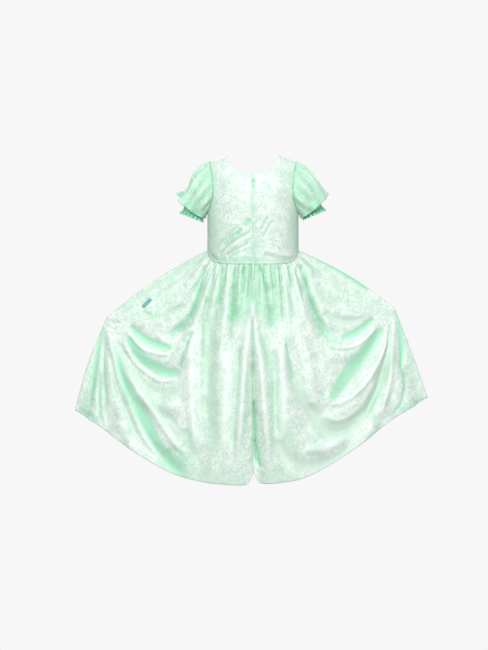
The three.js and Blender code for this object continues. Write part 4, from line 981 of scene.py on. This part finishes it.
# Crushed pile: patches of nap that lie in different ways, veins between them and fine grain.
def crushGroup():
    tree, given, out = newGroup(
        "crush",
        [
            ("Vector", "NodeSocketVector", None),
            ("Tone", "NodeSocketColor", None),
            ("Crest", "NodeSocketFloat", 0.0),
            ("Wash", "NodeSocketFloat", 0.0),
            ("Nap", "NodeSocketFloat", 1.0),
        ],
        [
            ("Color", "NodeSocketColor"),
            ("Roughness", "NodeSocketFloat"),
            ("Sheen", "NodeSocketFloat"),
            ("Normal", "NodeSocketVector"),
        ],
    )
    links = tree.links
    scaled = addNode(tree, "ShaderNodeVectorMath", operation="SCALE")
    scaled.inputs["Scale"].default_value = 1000
    links.new(given.outputs["Vector"], scaled.inputs[0])
    warp = addNode(tree, "ShaderNodeTexNoise", Scale=0.05, Detail=3.0, Roughness=0.6)
    links.new(scaled.outputs[0], warp.inputs["Vector"])
    centred = addNode(tree, "ShaderNodeVectorMath", operation="SUBTRACT")
    links.new(warp.outputs["Color"], centred.inputs[0])
    centred.inputs[1].default_value = (0.5, 0.5, 0.5)
    pushed = addNode(tree, "ShaderNodeVectorMath", operation="MULTIPLY_ADD")
    links.new(centred.outputs[0], pushed.inputs[0])
    pushed.inputs[1].default_value = (30, 30, 30)
    links.new(scaled.outputs[0], pushed.inputs[2])
    where = pushed.outputs[0]
    patch = addNode(tree, "ShaderNodeTexVoronoi", Scale=0.14)
    links.new(where, patch.inputs["Vector"])
    patchTone = addNode(tree, "ShaderNodeSeparateColor")
    links.new(patch.outputs["Color"], patchTone.inputs[0])
    vein = addNode(tree, "ShaderNodeTexNoise", Scale=0.1, Detail=3.0, Roughness=0.6,
                   noise_type="RIDGED_MULTIFRACTAL")
    links.new(where, vein.inputs["Vector"])
    grain = addNode(tree, "ShaderNodeTexNoise", Scale=0.21, Detail=3.0, Roughness=0.55)
    links.new(where, grain.inputs["Vector"])
    cloud = addNode(tree, "ShaderNodeTexNoise", Scale=0.034, Detail=2.0)
    links.new(scaled.outputs[0], cloud.inputs["Vector"])
    veins = mathNode(tree, "MULTIPLY", vein.outputs[0], 0.3)
    cells = mathNode(tree, "MULTIPLY", patchTone.outputs[0], 0.2)
    fine = mathNode(tree, "MULTIPLY", grain.outputs[0], 1.1)
    clouds = mathNode(tree, "MULTIPLY", cloud.outputs[0], 0.6)
    total = mathNode(tree, "ADD", mathNode(tree, "ADD", veins, cells), mathNode(tree, "ADD", fine, clouds))
    mask = addNode(tree, "ShaderNodeMapRange", interpolation_type="SMOOTHSTEP")
    links.new(total, mask.inputs["Value"])
    mask.inputs["From Min"].default_value = 0.74
    mask.inputs["From Max"].default_value = 1.28
    pale = mask.outputs["Result"]
    tone = addNode(tree, "ShaderNodeSeparateColor")
    links.new(given.outputs["Tone"], tone.inputs[0])
    mint, grey, deep = tone.outputs[0], tone.outputs[1], tone.outputs[2]
    # The painted bands of mint and grey green shade have a slightly ragged edge.
    ragged = mathNode(tree, "MULTIPLY", mathNode(tree, "SUBTRACT", total, 1.01), 2.2)
    mintShadeSoft = addNode(tree, "ShaderNodeMapRange", interpolation_type="SMOOTHSTEP")
    mintShadeSoft.inputs["From Min"].default_value = 0.12
    mintShadeSoft.inputs["From Max"].default_value = 0.85
    links.new(mathNode(tree, "ADD", mint, mathNode(tree, "MULTIPLY", ragged, mint)), mintShadeSoft.inputs["Value"])
    greyShadeRagged = mathNode(tree, "MULTIPLY", mathNode(tree, "MULTIPLY", ragged, grey), 0.22)
    greyShadeSoft = mathNode(tree, "ADD", grey, greyShadeRagged, clamp=True)
    crushed = mixColour(tree, pale, (0.56, 0.715, 0.625), (0.865, 0.925, 0.88))
    # Painted light over the crush: greener shade, a highlight on crests, grey green shade, smooth mint shade
    # and deep shade.
    greenShaded = mixColour(tree, given.outputs["Wash"], crushed, (0.61, 0.885, 0.715), "MULTIPLY")
    highlightShare = mathNode(tree, "MULTIPLY", given.outputs["Crest"], 0.42)
    highlighted = mixColour(tree, highlightShare, greenShaded, (0.87, 0.94, 0.89))
    greyShaded = mixColour(tree, mathNode(tree, "MULTIPLY", greyShadeSoft, 0.96), highlighted, (0.60, 0.765, 0.65))
    mintShadeShare = mathNode(tree, "MULTIPLY", mintShadeSoft.outputs["Result"], 0.92)
    mintShaded = mixColour(tree, mintShadeShare, greyShaded, (0.395, 0.81, 0.56))
    deepShaded = mixColour(tree, mathNode(tree, "MULTIPLY", deep, 0.8), mintShaded, (0.20, 0.62, 0.38))
    colour = mixColour(tree, given.outputs["Nap"], (0.48, 0.70, 0.57), deepShaded)
    links.new(colour, out.inputs["Color"])
    smoothness = mathNode(tree, "MAXIMUM", mintShadeSoft.outputs["Result"], greyShadeSoft)
    bump = addNode(tree, "ShaderNodeBump")
    bump.inputs["Distance"].default_value = 0.0009
    links.new(mathNode(tree, "MULTIPLY_ADD", smoothness, -0.42), bump.inputs["Strength"])
    bump.inputs["Strength"].links[0].from_node.inputs[2].default_value = 0.55
    links.new(total, bump.inputs["Height"])
    links.new(bump.outputs[0], out.inputs["Normal"])
    links.new(mathNode(tree, "MULTIPLY_ADD", pale, -0.14), out.inputs["Roughness"])
    out.inputs["Roughness"].links[0].from_node.inputs[2].default_value = 0.52
    links.new(mathNode(tree, "MULTIPLY_ADD", pale, 0.25), out.inputs["Sheen"])
    out.inputs["Sheen"].links[0].from_node.inputs[2].default_value = 0.15
    return tree


def newMaterial(name, **values):
    material = bpy.data.materials.new(name)
    material.use_nodes = True
    tree = material.node_tree
    shader = tree.nodes["Principled BSDF"]
    for key, value in values.items():
        shader.inputs[key.replace("_", " ")].default_value = value
    return material, tree, shader


crush = crushGroup()


def velvetMaterial():
    material, tree, shader = newMaterial(
        "crushedVelvet", Sheen_Roughness=0.35, Sheen_Tint=(0.86, 1.0, 0.93, 1)
    )
    shader.inputs["Specular IOR Level"].default_value = 0.35
    group = addNode(tree, "ShaderNodeGroup", node_tree=crush)
    where = addNode(tree, "ShaderNodeUVMap", uv_map="flat")
    tone = addNode(tree, "ShaderNodeAttribute", attribute_name="tone")
    tree.links.new(where.outputs[0], group.inputs["Vector"])
    tree.links.new(tone.outputs["Color"], group.inputs["Tone"])
    tree.links.new(tone.outputs["Alpha"], group.inputs["Crest"])
    wash = addNode(tree, "ShaderNodeAttribute", attribute_name="wash")
    tree.links.new(wash.outputs["Fac"], group.inputs["Wash"])
    nap = addNode(tree, "ShaderNodeAttribute", attribute_name="nap")
    tree.links.new(nap.outputs["Fac"], group.inputs["Nap"])
    tree.links.new(group.outputs["Color"], shader.inputs["Base Color"])
    tree.links.new(group.outputs["Roughness"], shader.inputs["Roughness"])
    tree.links.new(group.outputs["Sheen"], shader.inputs["Sheen Weight"])
    tree.links.new(group.outputs["Normal"], shader.inputs["Normal"])
    return material


def satinMaterial():
    material, tree, shader = newMaterial("darkSatin", Roughness=0.42, Sheen_Weight=0.25, Sheen_Roughness=0.4)
    shader.inputs["Anisotropic"].default_value = 0.4
    tone = addNode(tree, "ShaderNodeAttribute", attribute_name="tone")
    split = addNode(tree, "ShaderNodeSeparateColor")
    tree.links.new(tone.outputs["Color"], split.inputs[0])
    # The satin darkens where painted deep shade lies between its gathers.
    colour = mixColour(tree, split.outputs[2], (0.30, 0.80, 0.50), (0.10, 0.46, 0.26))
    tree.links.new(colour, shader.inputs["Base Color"])
    return material


# Woven cloth of the label, with ribs across it.
def wovenMaterial():
    material, tree, shader = newMaterial("wovenLabel", Roughness=0.7)
    where = addNode(tree, "ShaderNodeTexCoord")
    wave = addNode(tree, "ShaderNodeTexWave", Scale=900.0, Distortion=0.4)
    tree.links.new(where.outputs["Object"], wave.inputs["Vector"])
    colour = mixColour(tree, wave.outputs["Fac"], (0.10, 0.36, 0.37), (0.20, 0.50, 0.48))
    tree.links.new(colour, shader.inputs["Base Color"])
    return material


velvet = velvetMaterial()
satin = satinMaterial()
woven = wovenMaterial()
zipPlastic = newMaterial("zipPlastic", Base_Color=(0.52, 0.84, 0.67, 1), Roughness=0.35)[0]
zipLacquer = newMaterial("zipLacquer", Base_Color=(0.45, 0.80, 0.62, 1), Roughness=0.22, Coat_Weight=0.5)[0]
thread = newMaterial("thread", Base_Color=(0.50, 0.84, 0.66, 1), Roughness=0.55, Sheen_Weight=0.2)[0]
satinThread = newMaterial("satinThread", Base_Color=(0.10, 0.48, 0.27, 1), Roughness=0.55)[0]

print("skirt")
skirtLeft, skirtLeftOuter = buildSkirtBack("skirtBackLeft", heldLeft, 11)
skirtRight, skirtRightOuter = buildSkirtBack("skirtBackRight", heldRight, 23)
skirtFront, skirtFrontOuter = buildSkirtFront("skirtFront", 37)
finishPiece(skirtLeft, velvet, "garment", "skirt_back_left")
finishPiece(skirtRight, velvet, "garment", "skirt_back_right")
finishPiece(skirtFront, velvet, "garment", "skirt_front")

print("bodice")
bodiceLeft, bodiceLeftOuter = buildBodiceBack("bodiceBackLeft", 1)
bodiceRight, bodiceRightOuter = buildBodiceBack("bodiceBackRight", -1)
bodiceFront, bodiceFrontOuter = buildBodiceFront("bodiceFront")
finishPiece(bodiceLeft, velvet, "garment", "bodice_back_left")
finishPiece(bodiceRight, velvet, "garment", "bodice_back_right")
finishPiece(bodiceFront, velvet, "garment", "bodice_front")

print("sleeves")
sleeveLeft, sleeveLeftOuter = buildSleeve("sleeveLeft", 1, 0.2)
sleeveRight, sleeveRightOuter = buildSleeve("sleeveRight", -1, 0.5)
finishPiece(sleeveLeft, velvet, "garment", "sleeve_left")
finishPiece(sleeveRight, velvet, "garment", "sleeve_right")
undersleeveLeft, undersleeveLeftOuter = buildUndersleeve("undersleeveLeft", 1, 0)
undersleeveRight, undersleeveRightOuter = buildUndersleeve("undersleeveRight", -1, 0)
finishPiece(undersleeveLeft, satin, "garment", "undersleeve_left")
finishPiece(undersleeveRight, satin, "garment", "undersleeve_right")


# A soft edged copy of a hard CAD node.
def softEdged(name, node, width):
    obj = placed(name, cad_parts[node].data.copy())
    bevel = obj.modifiers.new("edges", "BEVEL")
    bevel.width = width
    bevel.segments = 2
    bevel.limit_method = "ANGLE"
    bevel.angle_limit = math.radians(40)
    return applied(obj)


# Applies an object's modifiers.
def applied(obj):
    bpy.context.view_layer.update()
    evaluated = obj.evaluated_get(bpy.context.evaluated_depsgraph_get())
    mesh = bpy.data.meshes.new_from_object(evaluated)
    obj.modifiers.clear()
    obj.data = mesh
    obj.data.name = obj.name
    return obj


print("zip")
finishPiece(softEdged("zipSlider", "zip_slider", 0.00025), zipLacquer, "garment", "zip_slider")
finishPiece(softEdged("zipPull", "zip_pull", 0.0002), zipLacquer, "zip_pull", "zip_pull")
zipTape = softEdged("zipTape", "zip_chain", 0.0002)
for vertex in zipTape.data.vertices:
    vertex.co.x *= 0.8
finishPiece(zipTape, zipPlastic, "garment", "zip_chain")


# Label, a small slip that follows the cloth. u runs along it and w across, in millimetres.
def buildLabel(name, outer, middle, length, width, tilt, lift=0.3, wall=0.45):
    u, w = np.meshgrid(np.linspace(-0.5, 0.5, 27) * length, np.linspace(0.5, -0.5, 9) * width)
    a = math.radians(tilt)
    x = middle[0] + u * math.cos(a) - w * math.sin(a)
    z = middle[1] + u * math.sin(a) + w * math.cos(a)
    near = (outer.reshape(-1, 3))[np.hypot(outer[..., 0] - middle[0], outer[..., 2] - middle[1]).ravel() < 25]
    apart = (x[..., None] - near[:, 0]) ** 2 + (z[..., None] - near[:, 2]) ** 2
    weight = np.exp(-apart / 2.4**2)
    y = (weight * near[:, 1]).sum(-1) / weight.sum(-1)
    inner = stack(x, y, z)
    normal = gridNormals(inner, False)
    inner += normal * lift
    flat = np.stack([u * mm, w * mm], -1)
    return clothShell(name, inner, wall, 1, flat, np.zeros((*u.shape, 5)), normal=normal)


sideLabel = buildLabel("sideLabel", skirtLeftOuter, (249, -342), 27, 8, 136)[0]
finishPiece(sideLabel, woven, "garment", "side_label")


# Small pieces repeated along a line: stitches and zip teeth.
def alongLineTree():
    tree = bpy.data.node_groups.new("alongLine", "GeometryNodeTree")
    for label, kind in (
        ("Geometry", "NodeSocketGeometry"),
        ("Piece", "NodeSocketObject"),
        ("Spacing", "NodeSocketFloat"),
        ("Turn", "NodeSocketFloat"),
        ("Seed", "NodeSocketInt"),
        ("Material", "NodeSocketMaterial"),
    ):
        tree.interface.new_socket(label, in_out="INPUT", socket_type=kind)
    tree.interface.new_socket("Geometry", in_out="OUTPUT", socket_type="NodeSocketGeometry")
    given, out = tree.nodes.new("NodeGroupInput"), tree.nodes.new("NodeGroupOutput")
    links = tree.links
    toCurve = tree.nodes.new("GeometryNodeMeshToCurve")
    resample = tree.nodes.new("GeometryNodeResampleCurve")
    resample.mode = "LENGTH"
    links.new(given.outputs["Geometry"], toCurve.inputs[0])
    links.new(toCurve.outputs[0], resample.inputs["Curve"])
    links.new(given.outputs["Spacing"], resample.inputs["Length"])
    tangent = tree.nodes.new("GeometryNodeInputTangent")
    outward = tree.nodes.new("GeometryNodeInputNamedAttribute")
    outward.data_type = "FLOAT_VECTOR"
    outward.inputs["Name"].default_value = "outward"
    alongX = tree.nodes.new("FunctionNodeAlignRotationToVector")
    alongX.axis = "X"
    links.new(tangent.outputs[0], alongX.inputs["Vector"])
    alongZ = tree.nodes.new("FunctionNodeAlignRotationToVector")
    alongZ.axis = "Z"
    alongZ.pivot_axis = "X"
    links.new(alongX.outputs[0], alongZ.inputs["Rotation"])
    links.new(outward.outputs[0], alongZ.inputs["Vector"])
    wobble = tree.nodes.new("FunctionNodeRandomValue")
    wobble.data_type = "FLOAT"
    wobble.inputs[2].default_value = -1
    wobble.inputs[3].default_value = 1
    links.new(given.outputs["Seed"], wobble.inputs["Seed"])
    angle = tree.nodes.new("ShaderNodeMath")
    angle.operation = "MULTIPLY"
    links.new(wobble.outputs[1], angle.inputs[0])
    links.new(given.outputs["Turn"], angle.inputs[1])
    turned = tree.nodes.new("ShaderNodeCombineXYZ")
    links.new(angle.outputs[0], turned.inputs["Z"])
    rotate = tree.nodes.new("FunctionNodeRotateRotation")
    rotate.rotation_space = "LOCAL"
    links.new(alongZ.outputs[0], rotate.inputs[0])
    links.new(turned.outputs[0], rotate.inputs[1])
    source = tree.nodes.new("GeometryNodeObjectInfo")
    links.new(given.outputs["Piece"], source.inputs["Object"])
    spread = tree.nodes.new("GeometryNodeInstanceOnPoints")
    links.new(resample.outputs[0], spread.inputs["Points"])
    links.new(source.outputs["Geometry"], spread.inputs["Instance"])
    links.new(rotate.outputs[0], spread.inputs["Rotation"])
    realise = tree.nodes.new("GeometryNodeRealizeInstances")
    links.new(spread.outputs[0], realise.inputs[0])
    coat = tree.nodes.new("GeometryNodeSetMaterial")
    links.new(realise.outputs[0], coat.inputs["Geometry"])
    links.new(given.outputs["Material"], coat.inputs["Material"])
    links.new(coat.outputs[0], out.inputs[0])
    return tree


alongLine = alongLineTree()


# A stitch: a short thread that dips into the cloth at both ends. Lengths in millimetres.
def stitchMesh(name, length, radius):
    rings = [(-0.5, 0.25, -0.3), (-0.32, 0.85, 0.15), (0, 1, 0.3), (0.32, 0.85, 0.15), (0.5, 0.25, -0.3)]
    points, faces = [], []
    for at, share, lift in rings:
        for i in range(6):
            a = i * math.pi / 3
            across = share * radius * math.cos(a) * mm
            up = (share * radius * math.sin(a) + lift * radius) * mm
            points.append((at * length * mm, across, up))
    for ring in range(len(rings) - 1):
        for i in range(6):
            j = (i + 1) % 6
            faces.append((6 * ring + i, 6 * ring + 6 + i, 6 * ring + 6 + j, 6 * ring + j))
    faces += [tuple(range(6)), tuple(range(29, 23, -1))]
    mesh = bpy.data.meshes.new(name)
    mesh.from_pydata(points, [], [f[::-1] for f in faces])
    mesh.polygons.foreach_set("use_smooth", [True] * len(faces))
    return mesh


def blockMesh(name, along, across, up):
    points = [
        (x * along / 2 * mm, y * across / 2 * mm, z * up / 2 * mm)
        for x in (-1, 1) for y in (-1, 1) for z in (-1, 1)
    ]
    faces = [(0, 1, 3, 2), (4, 6, 7, 5), (0, 4, 5, 1), (2, 3, 7, 6), (0, 2, 6, 4), (1, 5, 7, 3)]
    mesh = bpy.data.meshes.new(name)
    mesh.from_pydata(points, [], faces)
    return mesh


# lines is a list of (points, outward ways) in millimetres.
def repeatAlong(name, lines, source, spacing, turn, seed, material):
    points, edges, ways = [], [], []
    for line, outward in lines:
        start = len(points)
        points += (np.asarray(line) * mm).tolist()
        ways += np.asarray(outward).tolist()
        edges += [(start + i, start + i + 1) for i in range(len(line) - 1)]
    mesh = bpy.data.meshes.new(name)
    mesh.from_pydata(points, edges, [])
    way = mesh.attributes.new("outward", "FLOAT_VECTOR", "POINT")
    way.data.foreach_set("vector", np.array(ways, np.float32).ravel())
    obj = placed(name, mesh)
    piece = placed(name + "Source", source)
    modifier = obj.modifiers.new("along", "NODES")
    modifier.node_group = alongLine
    values = {
        "Piece": piece, "Spacing": spacing * mm, "Turn": math.radians(turn), "Seed": seed, "Material": material
    }
    for item in alongLine.interface.items_tree:
        if item.item_type == "SOCKET" and item.in_out == "INPUT" and item.name in values:
            modifier[item.identifier] = values[item.name]
    applied(obj)
    bpy.data.objects.remove(piece)
    for extra in [a.name for a in obj.data.attributes if a.name == "outward"]:
        obj.data.attributes.remove(obj.data.attributes[extra])
    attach(obj, "garment")
    return obj


# Line on a shell's outer face, at a fractional row or column, with the ways outwards.
def rowLine(outer, facing, row, ring=False, lift=0.1, fromColumn=0, toColumn=None):
    normal = gridNormals(outer, ring) * facing
    a = int(row)
    t = row - a
    b = min(a + 1, outer.shape[0] - 1)
    line, way = mix(outer[a], outer[b], t), mix(normal[a], normal[b], t)
    if ring:
        line, way = np.vstack([line, line[:1]]), np.vstack([way, way[:1]])
    line, way = line[fromColumn:toColumn], way[fromColumn:toColumn]
    return line + way * lift, way


def columnLine(outer, facing, column, lift=0.1, fromRow=0, toRow=None):
    normal = gridNormals(outer, False) * facing
    a = int(column)
    t = column - a
    line, way = mix(outer[:, a], outer[:, a + 1], t), mix(normal[:, a], normal[:, a + 1], t)
    return (line + way * lift)[fromRow:toRow], way[fromRow:toRow]


print("stitches and teeth")
hemShare = (1 - hemStitchUp / skirtLength) ** (1 / rowPower)
hemRow = skirtBackShape["rows"] * hemShare
frontHemRow = skirtFrontShape["rows"] * hemShare
repeatAlong(
    "hemStitchesBack",
    [rowLine(skirtLeftOuter, 1, hemRow), rowLine(skirtRightOuter, -1, hemRow)],
    stitchMesh("hemStitch", 2.6, 0.3), 3.6, 4, 3, thread,
)
repeatAlong(
    "hemStitchesFront", [rowLine(skirtFrontOuter, 1, frontHemRow)],
    stitchMesh("hemStitchFront", 2.6, 0.3), 3.6, 4, 5, thread,
)
repeatAlong(
    "zipStitches",
    [columnLine(bodiceLeftOuter, -1, 84.6, fromRow=2), columnLine(bodiceRightOuter, 1, 84.6, fromRow=2)],
    stitchMesh("zipStitch", 2.4, 0.28), 3.3, 3, 7, thread,
)
repeatAlong(
    "neckStitches",
    [
        rowLine(bodiceLeftOuter, -1, 2.0, fromColumn=66),
        rowLine(bodiceRightOuter, 1, 2.0, fromColumn=66),
        rowLine(bodiceFrontOuter, -1, 2.0, fromColumn=66, toColumn=115),
    ],
    stitchMesh("neckStitch", 2.4, 0.28), 3.3, 4, 9, thread,
)
repeatAlong(
    "sleeveStitches",
    [rowLine(sleeveLeftOuter, -1, 44.6, ring=True), rowLine(sleeveRightOuter, 1, 44.6, ring=True)],
    stitchMesh("sleeveStitch", 2.4, 0.28), 3.4, 4, 13, thread,
)
elasticRow = undersleeveShape["rows"] * undersleeveShape["neckAt"]
repeatAlong(
    "cuffStitches",
    [
        rowLine(undersleeveLeftOuter, -1, elasticRow, ring=True),
        rowLine(undersleeveRightOuter, 1, elasticRow, ring=True),
    ],
    stitchMesh("cuffStitch", 1.9, 0.26), 2.5, 8, 17, satinThread,
)


def centreBack(top, bottom, count, x, lift):
    z = np.linspace(top, bottom, count)
    upper = torsoPoint(1, np.zeros(count), shoulder["neckZ"] - z)[:, 1]
    v = clamp01((waist["centreZ"] - z) / (waist["centreZ"] - heldLeft["hemRow"][0]))
    lower = skirtSurface(heldLeft, 1, np.zeros((1, count)), v[None, :], 11)[0][0, :, 1]
    y = np.where(z > waist["centreZ"], upper, np.minimum(lower, upper + 2.5))
    return stack(x, y + lift, z), np.tile([0.0, 1.0, 0.0], (count, 1))


repeatAlong(
    "zipTeeth",
    [centreBack(-60, -283, 60, 0.42, 1.25), centreBack(-60.8, -283, 60, -0.42, 1.25)],
    blockMesh("zipTooth", 0.85, 1.15, 0.5), 1.6, 0, 19, zipPlastic,
)
print("studio")
scene = bpy.context.scene
scene.view_settings.view_transform = "Standard"
floorZ = -1.01
# Floor that curves up into a backdrop on all sides, as a wide bowl
points, faces = [], []
profile = [(2.0, 0.0), (3.4, 0.02), (4.2, 0.2), (4.8, 0.7), (5.1, 1.5), (5.2, 3.2)]
around = 72
for radius, height in profile:
    for i in range(around):
        a = 2 * math.pi * i / around
        points.append((radius * math.cos(a), radius * math.sin(a), floorZ + height))
for ring in range(len(profile) - 1):
    for i in range(around):
        j = (i + 1) % around
        faces.append((ring * around + i, ring * around + j, (ring + 1) * around + j, (ring + 1) * around + i))
faces.append(tuple(range(around)))
mesh = bpy.data.meshes.new("floor")
mesh.from_pydata(points, [], faces)
mesh.polygons.foreach_set("use_smooth", [True] * len(faces))
floor = placed("floor", mesh)
# Camera rays see an even pale paper. It throws less light on the dress than it shows.
paper, paperTree, paperShader = newMaterial("paper", Base_Color=(0, 0, 0, 1), Roughness=1.0)
paperShader.inputs["Specular IOR Level"].default_value = 0
paperShader.inputs["Emission Color"].default_value = (1, 1, 1, 1)
seen = addNode(paperTree, "ShaderNodeLightPath")
level = addNode(paperTree, "ShaderNodeMapRange")
level.inputs["To Min"].default_value = 0.38
level.inputs["To Max"].default_value = 0.93
paperTree.links.new(seen.outputs["Is Camera Ray"], level.inputs["Value"])
paperTree.links.new(level.outputs["Result"], paperShader.inputs["Emission Strength"])
floor.data.materials.append(paper)

world = bpy.data.worlds.new("studio")
scene.world = world
world.use_nodes = True
sky = world.node_tree.nodes["Background"]
sky.inputs["Color"].default_value = (0.95, 0.97, 1.0, 1)
sky.inputs["Strength"].default_value = 0.5


def softLight(name, place, aim, size, power, colour=(1, 1, 1)):
    data = bpy.data.lights.new(name, "AREA")
    data.shape = "DISK"
    data.size = size
    data.energy = power
    data.color = colour
    lamp = bpy.data.objects.new(name, data)
    scene.collection.objects.link(lamp)
    lamp.location = place
    way = np.array(aim) - np.array(place)
    lamp.rotation_euler = mathutils.Vector(way).to_track_quat("-Z", "Y").to_euler()
    return lamp


softLight("key", (0.7, 3.4, 0.9), (0, 0, -0.4), 1.3, 84)
softLight("fill", (-2.2, 2.6, 0.2), (0, 0, -0.4), 1.6, 22)
softLight("top", (0.0, 0.6, 2.4), (0, 0, -0.4), 1.6, 18)
softLight("rear", (0.4, -3.2, 1.2), (0, 0, -0.4), 1.6, 40)

cameraData = bpy.data.cameras.new("camera")
cameraData.sensor_width = 36
cameraData.lens = 98.7
camera = bpy.data.objects.new("camera", cameraData)
scene.collection.objects.link(camera)
camera.location = (0.021, 4.2, -0.203)
aim = mathutils.Vector((0.021, 0, -0.394)) - camera.location
camera.rotation_euler = aim.to_track_quat("-Z", "Y").to_euler()
scene.camera = camera
